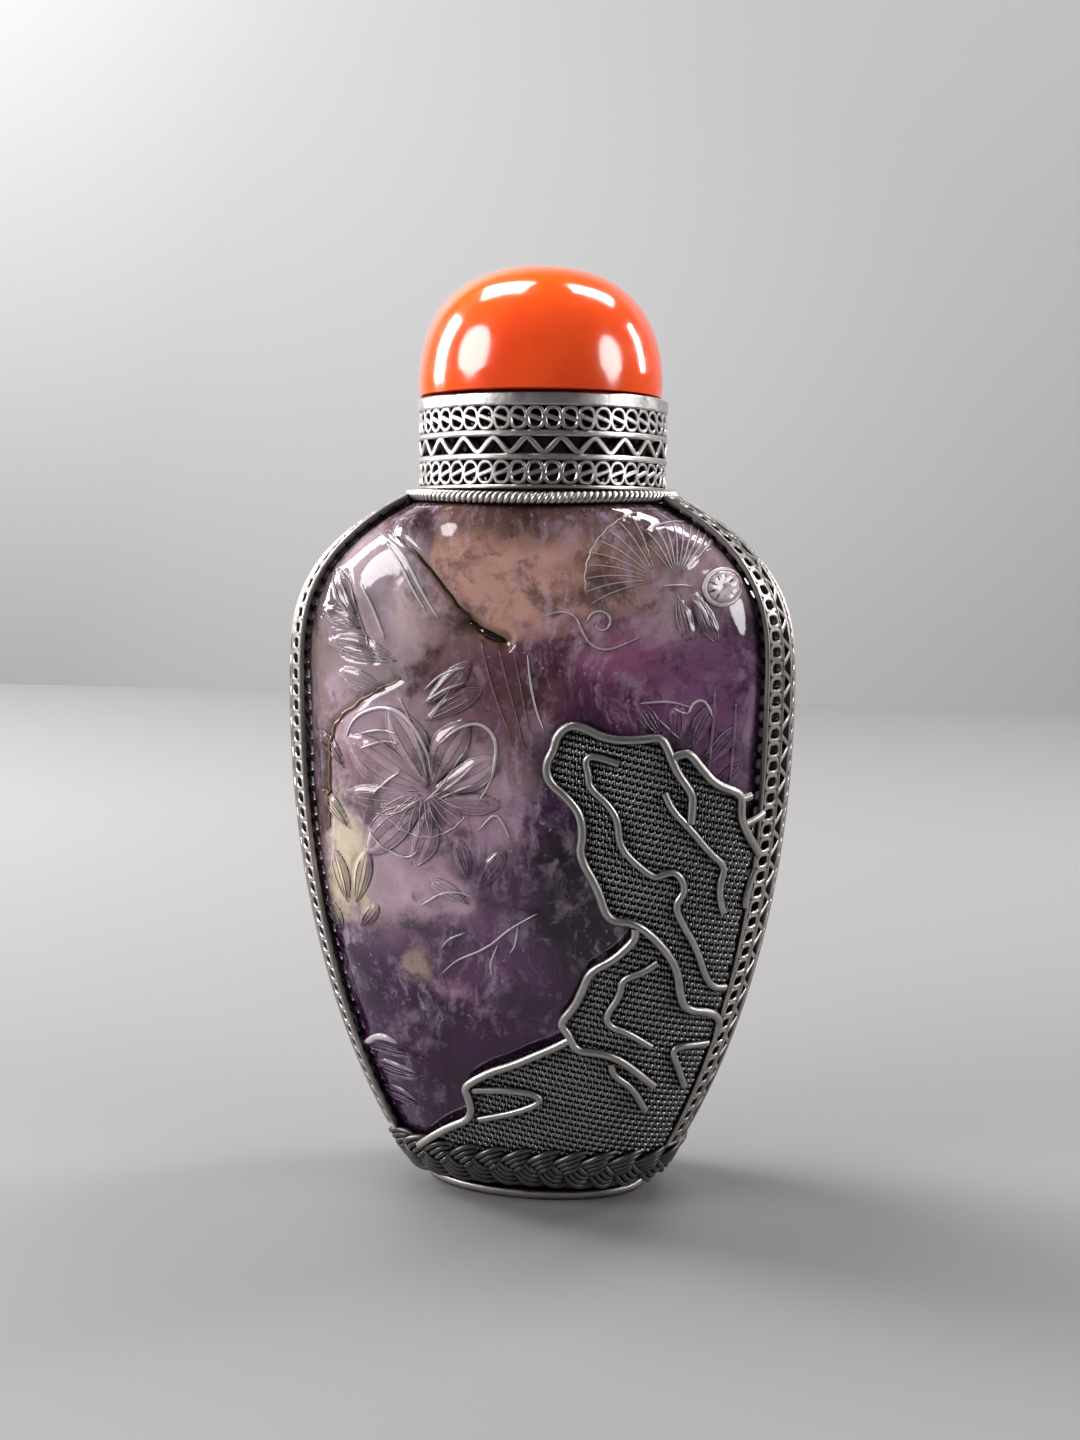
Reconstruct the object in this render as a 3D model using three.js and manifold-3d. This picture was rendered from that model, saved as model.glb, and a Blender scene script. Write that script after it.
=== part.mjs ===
// A carved amethyst snuff bottle in a silver filigree mount, with a coral dome that closes it.
// Millimetres, +Z up. The front faces -Y, X runs along the width, and Z = 0 is the foot's underside.

import * as THREE from 'three';
import { mergeVertices } from 'three/addons/utils/BufferGeometryUtils.js';
import loadManifold from 'manifold-3d';

const wasm = await loadManifold();
wasm.setup();

// Clearances
const seatGap = 0.15;
const wireGap = 0.2;

// Foot
const footHalfWidth = 9.9;
const footHalfDepth = 4.9;
const footThickness = 0.8;
const footRounding = 0.2;

// Stone
const stoneHeight = 60.35;
const stoneHalfWidth = 20.85;
const stoneHalfDepth = 11;
const baseHalfWidth = 9.2;
const baseHalfDepth = 4.4;
const neckHalfWidth = 9.3;
const neckHalfDepth = 8.5;
const neckHeight = 7.2;
const mouthRadius = 4;
const wallThickness = 3.2;
const floorThickness = 4;
const widestShare = 0.713;
const bodySquareness = 2.6;
const neckSquareness = 2;

// Filigree
const collarThickness = 1.1;
const railProud = 0.3;
const rimHeight = 1.3;
const loopRowHeight = 1.6;
const zigzagRowHeight = 1.35;
const wirePairHeight = 0.6;
const edgeWireHeight = 0.5;
const ropeRadius = 0.5;
const ropeDrop = 1.5;
const bandThickness = 0.95;
const bandHalfAngle = THREE.MathUtils.degToRad(33);
const bandShoulderAngle = THREE.MathUtils.degToRad(28);

// Braid
const braidHeight = 4.7;
const strandHeight = 1.0;
const strandThickness = 0.32;
const strandWeave = 0.68;
const strandWaves = 7;

// Rock panel and its wires
const clothThickness = 0.45;
const outlineWireRadius = 0.36;
const veinWireRadius = 0.3;
const wireStepLength = 2.1;

// Coral
const capRadius = 10.3;
const capHeight = 10.65;
const capShift = -0.2;
const capRoundness = 2.5;
const plugLength = 2.6;
const plugClearance = 0.25;

// Relief on the stone
const reliefRise = 0.5;
const reliefWidth = 1.1;
const fanLength = 5.4;
const smallFanLength = 3.9;
const rosetteRadius = 1.1;
const scrollRadius = 1.4;
const strokeRadius = 0.3;

// Heights worked out from the sizes above
const stoneBase = footThickness + seatGap;
const shoulderTop = stoneBase + stoneHeight;
const neckTop = shoulderTop + neckHeight;
const braidBase = footThickness + seatGap;
const braidTop = braidBase + braidHeight;
const collarBase = shoulderTop + seatGap;
const collarHeight = rimHeight + 2 * loopRowHeight + zigzagRowHeight + 2 * wirePairHeight + edgeWireHeight;
const collarTop = collarBase + collarHeight;
const collarHalfWidth = neckHalfWidth + seatGap + collarThickness;
const collarHalfDepth = neckHalfDepth + seatGap + collarThickness;

// How finely the curved faces are cut
const stoneColumns = 32;
const columnAngle = (2 * Math.PI) / stoneColumns;
const upperRows = 11;

const materials = {
  amethyst: { color: 0x5b3f6e, roughness: 0.12, metalness: 0 },
  coral: { color: 0xe0441c, roughness: 0.12, metalness: 0 },
  silver: { color: 0xb3a9a3, roughness: 0.35, metalness: 1 },
  oxidised: { color: 0x4a4647, roughness: 0.5, metalness: 1 },
};

const model = new THREE.Group();

function addPiece(name, geometry, materialName) {
  const mesh = new THREE.Mesh(geometry, new THREE.MeshStandardMaterial(materials[materialName]));
  mesh.name = name;
  model.add(mesh);
}

// Shape functions

function signedPower(value, power) {
  return Math.sign(value) * Math.abs(value) ** power;
}

function archShare(share, sharpness, roundness) {
  const inside = Math.min(Math.max(share, 0), 1);
  return (1 - inside ** sharpness) ** roundness;
}

const widestHeight = stoneBase + widestShare * stoneHeight;

// Half-width, half-depth and squareness of the stone's oval section at a height.
function stoneSection(height) {
  if (height >= shoulderTop) {
    return [neckHalfWidth, neckHalfDepth, neckSquareness];
  }
  if (height <= widestHeight) {
    const swell = archShare((widestHeight - height) / (widestHeight - stoneBase), 2.1, 0.8);
    const halfWidth = THREE.MathUtils.lerp(baseHalfWidth, stoneHalfWidth, swell);
    return [halfWidth, THREE.MathUtils.lerp(baseHalfDepth, stoneHalfDepth, swell), bodySquareness];
  }
  const share = (height - widestHeight) / (shoulderTop - widestHeight);
  const halfWidth = THREE.MathUtils.lerp(neckHalfWidth, stoneHalfWidth, archShare(share, 3, 0.85));
  const halfDepth = THREE.MathUtils.lerp(neckHalfDepth, stoneHalfDepth, archShare(share, 6, 0.5));
  return [halfWidth, halfDepth, THREE.MathUtils.lerp(bodySquareness, neckSquareness, share ** 8)];
}

// Angle 0 is +X, a quarter turn is the front (-Y).
function sectionPoint([halfWidth, halfDepth, squareness], angle, height) {
  const x = halfWidth * signedPower(Math.cos(angle), 2 / squareness);
  const y = -halfDepth * signedPower(Math.sin(angle), 2 / squareness);
  return new THREE.Vector3(x, y, height);
}

function stonePoint(angle, height) {
  return sectionPoint(stoneSection(height), angle, height);
}

function stoneNormal(angle, height) {
  const turn = 0.03;
  const rise = 0.05;
  const low = Math.max(height - rise, stoneBase);
  const high = Math.min(height + rise, shoulderTop - 0.01);
  const across = stonePoint(angle + turn, height).sub(stonePoint(angle - turn, height));
  const upward = stonePoint(angle, high).sub(stonePoint(angle, low));
  return upward.cross(across).normalize();
}

function offStone(angle, height, distance) {
  return stonePoint(angle, height).addScaledVector(stoneNormal(angle, height), distance);
}

// A place on the front, given as shares of the stone's half-width there and of its height.
function frontAngle(widthShare, height) {
  const squareness = stoneSection(height)[2];
  const share = Math.min(Math.abs(widthShare), 1);
  const quarter = Math.acos(share ** (squareness / 2));
  return widthShare < 0 ? Math.PI - quarter : quarter;
}

function heightAt(percent) {
  return stoneBase + (percent / 100) * stoneHeight;
}

// The drawn share counts from the widest half-width, so it is turned into a share of the section there.
function facePlace([widthPercent, heightPercent]) {
  const height = heightAt(heightPercent);
  const x = (widthPercent / 100) * stoneHalfWidth;
  return { angle: frontAngle(x / stoneSection(height)[0], height), height };
}

// Mesh helpers

function bareGeometry(geometry) {
  const bare = geometry.clone();
  bare.deleteAttribute('normal');
  bare.deleteAttribute('uv');
  return mergeVertices(bare, 1e-4);
}

function withoutFlatTriangles(geometry) {
  const index = geometry.getIndex().array;
  const kept = [];
  for (let i = 0; i < index.length; i += 3) {
    const [a, b, c] = [index[i], index[i + 1], index[i + 2]];
    if (a !== b && b !== c && a !== c) {
      kept.push(a, b, c);
    }
  }
  geometry.setIndex(kept);
  return geometry;
}

function signedVolume(geometry) {
  const place = geometry.getAttribute('position');
  const index = geometry.getIndex().array;
  const corners = [new THREE.Vector3(), new THREE.Vector3(), new THREE.Vector3()];
  let total = 0;
  for (let i = 0; i < index.length; i += 3) {
    corners.forEach((corner, k) => corner.fromBufferAttribute(place, index[i + k]));
    total += corners[0].dot(corners[1].clone().cross(corners[2])) / 6;
  }
  return total;
}

function facingOut(geometry) {
  if (signedVolume(geometry) < 0) {
    const index = Array.from(geometry.getIndex().array);
    for (let i = 0; i < index.length; i += 3) {
      [index[i], index[i + 1]] = [index[i + 1], index[i]];
    }
    geometry.setIndex(index);
  }
  return geometry;
}

// Moves each vertex of a three.js geometry to the place that a function gives it, as one closed body.
function shaped(geometry, placeOf) {
  const position = geometry.getAttribute('position');
  for (let i = 0; i < position.count; i += 1) {
    const old = new THREE.Vector3().fromBufferAttribute(position, i);
    const place = placeOf(old, i);
    position.setXYZ(i, place.x, place.y, place.z);
  }
  return facingOut(withoutFlatTriangles(bareGeometry(geometry)));
}

function toSolid(geometry) {
  const clean = facingOut(withoutFlatTriangles(bareGeometry(geometry)));
  return new wasm.Manifold(new wasm.Mesh({
    numProp: 3,
    vertProperties: new Float32Array(clean.getAttribute('position').array),
    triVerts: new Uint32Array(clean.getIndex().array),
  }));
}

function toGeometry(solid) {
  const mesh = solid.getMesh();
  const geometry = new THREE.BufferGeometry();
  geometry.setAttribute('position', new THREE.BufferAttribute(new Float32Array(mesh.vertProperties), 3));
  geometry.setIndex(new THREE.BufferAttribute(new Uint32Array(mesh.triVerts), 1));
  return geometry;
}

// Levels at which the stone and what lies on it are cut, so that their facets stay parallel.
const clothFoot = braidTop + seatGap;
const stoneLevels = [stoneBase, THREE.MathUtils.lerp(stoneBase, clothFoot, 0.35), clothFoot];
for (let row = 1; row <= upperRows; row += 1) {
  const share = 1 - (1 - row / (upperRows + 1)) ** 1.6;
  stoneLevels.push(THREE.MathUtils.lerp(clothFoot, shoulderTop, share));
}

// Amethyst bottle

function cavitySection(height) {
  const floor = stoneBase + floorThickness;
  const roof = shoulderTop - wallThickness;
  const share = THREE.MathUtils.clamp((height - floor) / (roof - floor), 0, 1);
  const round = archShare(Math.abs(2 * share - 1), 6, 0.5);
  const [halfWidth, halfDepth] = stoneSection(height);
  const opening = share > 0.5 ? mouthRadius : 0;
  const wide = opening + (halfWidth - wallThickness - opening) * round;
  const deep = opening + (halfDepth - wallThickness - opening) * round;
  const squareness = THREE.MathUtils.lerp(neckSquareness, bodySquareness, round);
  return [Math.max(wide, opening), Math.max(deep, opening), squareness];
}

function bottleProfile() {
  const stations = [{ section: [0, 0, neckSquareness], height: stoneBase }];
  for (const height of stoneLevels) {
    stations.push({ section: stoneSection(height), height });
  }
  const neck = [neckHalfWidth, neckHalfDepth, neckSquareness];
  stations.push({ section: neck, height: shoulderTop });
  stations.push({ section: neck, height: neckTop });
  const bore = [mouthRadius, mouthRadius, neckSquareness];
  stations.push({ section: bore, height: neckTop });
  const floor = stoneBase + floorThickness;
  const roof = shoulderTop - wallThickness;
  for (const share of [1, 0.97, 0.89, 0.72, 0.45, 0.2, 0.05]) {
    const height = THREE.MathUtils.lerp(floor, roof, share);
    stations.push({ section: share === 1 ? bore : cavitySection(height), height });
  }
  stations.push({ section: [0, 0, neckSquareness], height: floor });
  return stations;
}

function plainBottle() {
  const stations = bottleProfile();
  const profile = stations.map(({ section, height }) => new THREE.Vector2(section[0], height));
  return shaped(new THREE.LatheGeometry(profile, stoneColumns), (old, i) => {
    const column = Math.floor(i / stations.length) % stoneColumns;
    const { section, height } = stations[i % stations.length];
    return sectionPoint(section, column * columnAngle, height);
  });
}

// A low rounded leaf on the front, from its root to its tip, both in percent of the stone.
function leafSolid(root, tip, width, rise) {
  const from = facePlace(root);
  const to = facePlace(tip);
  const start = stonePoint(from.angle, from.height);
  const end = stonePoint(to.angle, to.height);
  const middle = { angle: (from.angle + to.angle) / 2, height: (from.height + to.height) / 2 };
  const centre = stonePoint(middle.angle, middle.height);
  const normal = stoneNormal(middle.angle, middle.height);
  const along = end.clone().sub(start);
  const halfLength = along.length() / 2;
  along.addScaledVector(normal, -along.dot(normal)).normalize();
  const side = new THREE.Vector3().crossVectors(normal, along);
  return toSolid(shaped(new THREE.SphereGeometry(1, 5, 3), (old) => centre.clone()
    .addScaledVector(side, old.x * width / 2)
    .addScaledVector(along, old.y * halfLength)
    .addScaledVector(normal, old.z * rise)));
}

function fanLeaves(apex, firstTurn, lastTurn, ribs, length, width) {
  const leaves = [];
  for (let rib = 0; rib < ribs; rib += 1) {
    const turn = THREE.MathUtils.degToRad(THREE.MathUtils.lerp(firstTurn, lastTurn, rib / (ribs - 1)));
    const reach = (share) => [
      apex[0] + (share * length * Math.cos(turn) * 100) / stoneHalfWidth,
      apex[1] + (share * length * Math.sin(turn) * 100) / stoneHeight,
    ];
    leaves.push(leafSolid(reach(0.25), reach(1), width, reliefRise));
  }
  return leaves;
}

// A raised stroke along points in percent, as a carved scroll or stem.
function strokeSolid(points, radius, steps) {
  const places = points.map(facePlace);
  const path = new THREE.CatmullRomCurve3(places.map(({ angle, height }) => stonePoint(angle, height)));
  return toSolid(new THREE.ExtrudeGeometry(ringShape(radius, 5), { steps, extrudePath: path }));
}

function ringShape(radius, sides) {
  const shape = new THREE.Shape();
  for (let side = 0; side < sides; side += 1) {
    const turn = (side / sides) * 2 * Math.PI;
    const place = [radius * Math.cos(turn), radius * Math.sin(turn)];
    if (side === 0) {
      shape.moveTo(...place);
    } else {
      shape.lineTo(...place);
    }
  }
  shape.closePath();
  return shape;
}

function scrollPoints(centre, radius, firstTurn, lastTurn) {
  const points = [];
  for (let step = 0; step <= 7; step += 1) {
    const turn = THREE.MathUtils.degToRad(THREE.MathUtils.lerp(firstTurn, lastTurn, step / 7));
    const reach = radius * THREE.MathUtils.lerp(1, 0.45, step / 7);
    points.push([
      centre[0] + (reach * Math.cos(turn) * 100) / stoneHalfWidth,
      centre[1] + (reach * Math.sin(turn) * 100) / stoneHeight,
    ]);
  }
  return points;
}

function carvedBottle() {
  const relief = [
    ...fanLeaves([49.7, 88.8], 108, 196, 7, fanLength, reliefWidth),
    ...fanLeaves([56, 89.2], 74, 108, 4, smallFanLength, reliefWidth * 0.8),
    ...fanLeaves([74, 87.8], 0, 300, 6, rosetteRadius, reliefWidth * 0.8),
    ...fanLeaves([-38.4, 60.4], 20, 340, 9, fanLength, reliefWidth * 1.7),
    ...fanLeaves([-54, 86], 195, 300, 4, fanLength, reliefWidth * 1.4),
    ...fanLeaves([63.6, 70], 95, 170, 4, smallFanLength, reliefWidth),
    ...fanLeaves([-58, 18], -30, 20, 3, smallFanLength, reliefWidth),
    strokeSolid(scrollPoints([30.3, 83.1], scrollRadius, -60, 260), strokeRadius, 9),
    strokeSolid([[-32.4, 34.1], [-20, 37], [-6, 41], [6.5, 43.9]], strokeRadius, 5),
  ];
  let solid = toSolid(plainBottle());
  for (const leaf of relief) {
    solid = solid.add(leaf);
  }
  return toGeometry(solid);
}

addPiece('amethyst_bottle', carvedBottle(), 'amethyst');

// Coral cap with its short plug

function capGeometry() {
  const underside = collarTop + seatGap;
  const plugRadius = mouthRadius - plugClearance;
  const profile = [
    new THREE.Vector2(0, underside - plugLength),
    new THREE.Vector2(plugRadius, underside - plugLength),
    new THREE.Vector2(plugRadius, underside),
  ];
  for (const turn of [0, 18, 34, 47, 58, 68, 79, 90]) {
    const angle = THREE.MathUtils.degToRad(turn);
    const radius = turn === 90 ? 0 : capRadius * Math.cos(angle) ** (2 / capRoundness);
    profile.push(new THREE.Vector2(radius, underside + capHeight * Math.sin(angle) ** (2 / capRoundness)));
  }
  const geometry = new THREE.LatheGeometry(profile, 28);
  return shaped(geometry, (old) => {
    const inDome = old.y > underside - 1e-4 && Math.hypot(old.x, old.z) > plugRadius + 1e-4;
    const shift = inDome ? capShift : 0;
    return new THREE.Vector3(old.x + shift, -old.z, old.y);
  });
}

addPiece('coral_cap', capGeometry(), 'coral');

// Neck collar: plain rim, loop row, wires, zigzag row, wires, loop row, edge wire

function collarRows() {
  const heights = [
    ['rail', rimHeight],
    ['row', loopRowHeight],
    ['rail', wirePairHeight],
    ['row', zigzagRowHeight],
    ['rail', wirePairHeight],
    ['row', loopRowHeight],
    ['rail', edgeWireHeight],
  ];
  let top = collarTop;
  return heights.map(([kind, height]) => {
    const row = { kind, top, bottom: top - height };
    top -= height;
    return row;
  });
}

function collarGeometry() {
  const profile = [];
  for (const { kind, top, bottom } of collarRows()) {
    const radius = kind === 'rail' ? collarHalfWidth : collarHalfWidth - railProud;
    profile.push(new THREE.Vector2(radius, top), new THREE.Vector2(radius, bottom));
  }
  const inner = neckHalfWidth + seatGap;
  profile.push(new THREE.Vector2(inner, collarBase), new THREE.Vector2(inner, collarTop));
  profile.push(profile[0].clone());
  return shaped(new THREE.LatheGeometry(profile, stoneColumns), (old) => {
    const turn = Math.atan2(old.x, old.z);
    const radius = Math.hypot(old.x, old.z);
    const depthRadius = radius - neckHalfWidth + neckHalfDepth;
    return new THREE.Vector3(radius * Math.sin(turn), -depthRadius * Math.cos(turn), old.y);
  });
}

addPiece('neck_collar', collarGeometry(), 'silver');

// Twisted wire at the foot of the collar, lower at the front and back than at the sides

function ropeGeometry() {
  const around = 48;
  const lobes = 5;
  const halfWidth = collarHalfWidth + seatGap + ropeRadius;
  const halfDepth = collarHalfDepth + seatGap + ropeRadius;
  const sideHeight = heightUnderRope(halfWidth, 0) + ropeRadius + seatGap;
  const frontHeight = heightUnderRope(halfDepth, 1) + ropeRadius + seatGap;
  return shaped(new THREE.TorusGeometry(1, 0.2, lobes, around), (old, i) => {
    const column = i % (around + 1) % around;
    const corner = Math.floor(i / (around + 1)) % lobes;
    const turn = (column / around) * 2 * Math.PI;
    const twist = (corner / lobes) * 2 * Math.PI + (column % 2) * (Math.PI / lobes);
    const out = ropeRadius * Math.cos(twist);
    const front = Math.sin(turn) ** 2;
    const height = THREE.MathUtils.lerp(sideHeight, frontHeight, front) + ropeRadius * Math.sin(twist);
    return new THREE.Vector3((halfWidth + out) * Math.cos(turn), (halfDepth + out) * Math.sin(turn), height);
  });
}

// Highest point of the shoulder under a rope whose centre runs at this half-width (0) or half-depth (1).
// On a neck as wide as the shoulder the rope stays this far below the collar.
function heightUnderRope(reach, axis) {
  const lowest = shoulderTop - ropeDrop;
  let height = shoulderTop;
  while (height > lowest && stoneSection(height - 0.01)[axis] < reach - 0.8 * ropeRadius) {
    height -= 0.05;
  }
  return height;
}

addPiece('shoulder_rope', ropeGeometry(), 'silver');

// Side bands: edge wires, loop rows and zigzag rows across, wrapped round the narrow sides

// Places across a band, from edge to edge, and how far each one sinks below the wires.
function bandColumns() {
  const rows = 7;
  const edgeShare = 0.045;
  const rowShare = (1 - 2 * edgeShare) / rows;
  const columns = [[0, 0], [edgeShare, 0]];
  for (let row = 0; row < rows; row += 1) {
    const left = edgeShare + row * rowShare;
    columns.push([left + 0.5 * rowShare, railProud]);
    if (row < rows - 1) {
      columns.push([left + rowShare, 0]);
    }
  }
  columns.push([1 - edgeShare, 0], [1, 0]);
  return columns;
}

// The band narrows over the shoulder.
function bandGeometry(middleAngle) {
  const levels = stoneLevels.filter((height) => height >= clothFoot - 1e-6);
  const columns = bandColumns();
  const box = new THREE.BoxGeometry(1, 1, 1, columns.length - 1, levels.length - 1, 1);
  return shaped(box, (old) => {
    const [share, sink] = columns[Math.round((old.x + 0.5) * (columns.length - 1))];
    const height = levels[Math.round((old.y + 0.5) * (levels.length - 1))];
    const shoulderShare = THREE.MathUtils.smoothstep(height, widestHeight, shoulderTop);
    const halfAngle = THREE.MathUtils.lerp(bandHalfAngle, bandShoulderAngle, shoulderShare);
    const distance = old.z > 0 ? seatGap + bandThickness - sink : seatGap;
    return offStone(middleAngle + (2 * share - 1) * halfAngle, height, distance);
  });
}

addPiece('side_band_right', bandGeometry(0), 'silver');
addPiece('side_band_left', bandGeometry(Math.PI), 'silver');

// Plait of three flat strands round the base, each a closed ring

function strandGeometry(phase) {
  const around = strandWaves * 9;
  const sides = 4;
  const swing = (braidHeight - strandHeight) / 2;
  const middle = (braidBase + braidTop) / 2;
  const centreAt = (turn) => {
    const wave = strandWaves * turn + phase;
    const inOrOut = THREE.MathUtils.clamp(1.6 * Math.sin(2 * wave), -1, 1);
    const out = seatGap + strandThickness / 2 + strandWeave * (1 + inOrOut);
    return offStone(turn, middle + swing * Math.sin(wave), out);
  };
  return shaped(new THREE.TorusGeometry(1, 0.2, sides, around), (old, i) => {
    const column = i % (around + 1) % around;
    const corner = Math.floor(i / (around + 1)) % sides;
    const turn = (column / around) * 2 * Math.PI;
    const centre = centreAt(turn);
    const along = centreAt(turn + 0.02).sub(centreAt(turn - 0.02)).normalize();
    const outward = stoneNormal(turn, middle);
    outward.addScaledVector(along, -outward.dot(along)).normalize();
    const across = new THREE.Vector3().crossVectors(along, outward);
    const twist = ((corner + 0.5) / sides) * 2 * Math.PI;
    return centre
      .addScaledVector(across, (strandHeight / 2) * Math.SQRT2 * Math.cos(twist))
      .addScaledVector(outward, (strandThickness / 2) * Math.SQRT2 * Math.sin(twist));
  });
}

['a', 'b', 'c'].forEach((letter, strand) => {
  addPiece(`base_braid_strand_${letter}`, strandGeometry((strand * 2 * Math.PI) / 3), 'oxidised');
});

// Foot plate

function footGeometry() {
  const shape = new THREE.Shape();
  shape.absellipse(0, 0, footHalfWidth - footRounding, footHalfDepth - footRounding, 0, 2 * Math.PI, false, 0);
  const geometry = new THREE.ExtrudeGeometry(shape, {
    depth: footThickness - 2 * footRounding,
    bevelThickness: footRounding,
    bevelSize: footRounding,
    bevelSegments: 1,
    curveSegments: 14,
  });
  geometry.translate(0, 0, footRounding);
  return facingOut(withoutFlatTriangles(bareGeometry(geometry)));
}

addPiece('foot_plate', footGeometry(), 'silver');

// Crag outlines and veins on the front. Points are percent of the stone's half-width and of its height.

const upperCragInner = [[63, 56.9], [64, 59.4], [64, 60.9], [59, 63.1], [57, 64.6]];
const upperCragOuter = [
  [54, 67.2], [52, 68.5], [45, 68], [33, 68], [24, 69.7], [18, 69.8], [13, 68.2], [13, 66.7], [10, 64.6],
  [11, 62.2], [18, 60.4], [23, 58.1], [24, 55.1], [23, 52.5], [30, 48.1], [33, 44.5], [36, 43.5], [43, 43.5],
];
const ledge = [[52, 40.9], [59, 36.9], [60, 32.5], [63, 30.5], [71, 29.9], [75, 28.5], [73, 25.9]];
const rightCrag = [[60, 66], [63, 66], [67, 64.1], [72, 62.1], [79, 60.9], [81, 59.6], [81, 57.4], [83, 55.1]];
const lowerCragOuter = [
  [43, 41.3], [41, 39.9], [35, 38], [27, 36.4], [24, 34], [21, 31.2], [15, 28.6], [19, 27.1],
];
const lowerCragInner = [[21, 24.6], [30, 24.4], [37, 23.6], [45, 21.4], [51, 19.1]];
const lowerLeft = [
  [13, 25.2], [6, 23.6], [-4, 21.8], [-13, 20.6], [-24, 18], [-22, 16.5], [-21, 13.3], [-30, 11.5], [-37, 10.1],
];

const outlineWires = {
  upper_crag_wire: [...upperCragInner, ...upperCragOuter, ...ledge],
  right_crag_wire: rightCrag,
  lower_crag_wire: [...lowerCragOuter, ...lowerCragInner],
  lower_slope_wire: lowerLeft,
};

const veinWires = {
  vein_wire_a: [
    [37, 64.9], [30, 65.7], [25, 65.7], [25, 63.9], [26, 61.7], [33, 59.6], [37, 57.4], [37, 54.1], [42, 52],
    [51, 49.5], [54, 50.1], [59, 50.5], [62, 47.8], [58, 45.8], [60, 43.5], [66, 39.7], [70, 35.2], [73, 33.4],
    [77, 33.2],
  ],
  vein_wire_b: [[55, 59.9], [59, 57.8], [63, 55.1], [71, 52.2], [76, 50.5], [74, 48], [75, 44.8]],
  vein_wire_c: [[51, 36.9], [47, 36], [39, 35.2], [38, 32.9], [33, 29.9], [35, 28.3], [41, 27.6], [50, 25.4]],
  vein_wire_d: [[35, 21], [39, 19.4], [43, 17.9], [46, 15.5]],
  vein_wire_e: [[68, 24.1], [61, 24.4], [58, 23], [60, 20.8], [62, 18.8]],
  spike_wire: [[-16, 17.1], [-7, 17.5], [3, 17.3], [8, 16.5], [3, 15.4], [-7, 14.2], [-16, 13.7]],
};

// Angle beyond which the cloth and the wires would meet the right band.
const clothEdgeAngle = bandHalfAngle + 0.03;

function wireGeometry(points, radius) {
  const lift = seatGap + clothThickness + wireGap + radius;
  const wireAngle = clothEdgeAngle + (radius + wireGap) / stoneHalfWidth;
  const places = points.map(facePlace).map(({ angle, height }) => (
    offStone(Math.max(angle, wireAngle), height, lift)
  ));
  const path = new THREE.CatmullRomCurve3(places, false, 'centripetal');
  const steps = Math.max(4, Math.round(path.getLength() / wireStepLength));
  return facingOut(withoutFlatTriangles(bareGeometry(
    new THREE.ExtrudeGeometry(ringShape(radius, 5), { steps, extrudePath: path }),
  )));
}

// Cloth: the crag's outline, cut out of a thin layer that follows the stone

function clothLayer() {
  const angles = [clothEdgeAngle];
  const firstColumn = Math.ceil(clothEdgeAngle / columnAngle);
  const lastColumn = Math.ceil(0.36 * stoneColumns);
  for (let column = firstColumn; column <= lastColumn; column += 1) {
    angles.push(column * columnAngle);
  }
  const levels = stoneLevels.filter((height) => height >= clothFoot - 1e-6 && height < heightAt(82));
  const box = new THREE.BoxGeometry(1, 1, 1, angles.length - 1, levels.length - 1, 1);
  return toSolid(shaped(box, (old) => {
    const angle = angles[Math.round((old.x + 0.5) * (angles.length - 1))];
    const height = levels[Math.round((old.y + 0.5) * (levels.length - 1))];
    return offStone(angle, height, old.z > 0 ? seatGap + clothThickness : seatGap);
  }));
}

function cragPrism() {
  const outline = [
    ...upperCragInner.slice(-1), ...rightCrag, [110, 55.1], [110, 0], [-45, 0], ...[...lowerLeft].reverse(),
    ...[...lowerCragOuter].reverse(), ...[...upperCragOuter].reverse(),
  ];
  const shape = new THREE.Shape();
  outline.forEach(([widthPercent, heightPercent], k) => {
    const place = [(widthPercent / 100) * stoneHalfWidth, heightAt(heightPercent)];
    if (k === 0) {
      shape.moveTo(...place);
    } else {
      shape.lineTo(...place);
    }
  });
  shape.closePath();
  const geometry = new THREE.ExtrudeGeometry(shape, { depth: 3 * stoneHalfDepth, bevelEnabled: false });
  return toSolid(geometry.rotateX(Math.PI / 2));
}

addPiece('rock_mesh_panel', toGeometry(clothLayer().intersect(cragPrism())), 'oxidised');

for (const [name, points] of Object.entries(outlineWires)) {
  addPiece(name, wireGeometry(points, outlineWireRadius), 'silver');
}
for (const [name, points] of Object.entries(veinWires)) {
  addPiece(name, wireGeometry(points, veinWireRadius), 'silver');
}

export default model;
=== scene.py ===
from math import asin, cos, dist, hypot, pi, radians, sin

import bpy
import numpy as np
from mathutils import Euler, Matrix, Vector


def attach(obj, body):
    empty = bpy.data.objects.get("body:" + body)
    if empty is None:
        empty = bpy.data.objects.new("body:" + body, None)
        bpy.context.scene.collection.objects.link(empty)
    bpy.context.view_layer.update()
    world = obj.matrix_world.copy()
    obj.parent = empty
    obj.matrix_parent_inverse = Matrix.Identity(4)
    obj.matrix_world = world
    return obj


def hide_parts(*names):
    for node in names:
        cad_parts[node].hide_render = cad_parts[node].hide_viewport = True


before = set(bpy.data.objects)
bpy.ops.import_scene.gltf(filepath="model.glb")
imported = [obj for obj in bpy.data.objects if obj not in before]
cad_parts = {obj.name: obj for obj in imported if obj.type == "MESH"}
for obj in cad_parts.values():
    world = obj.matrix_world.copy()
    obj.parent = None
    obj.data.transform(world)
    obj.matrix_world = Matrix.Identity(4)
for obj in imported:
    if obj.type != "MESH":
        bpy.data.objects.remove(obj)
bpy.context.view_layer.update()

mm = 0.001  # every length below is in millimetres

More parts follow.
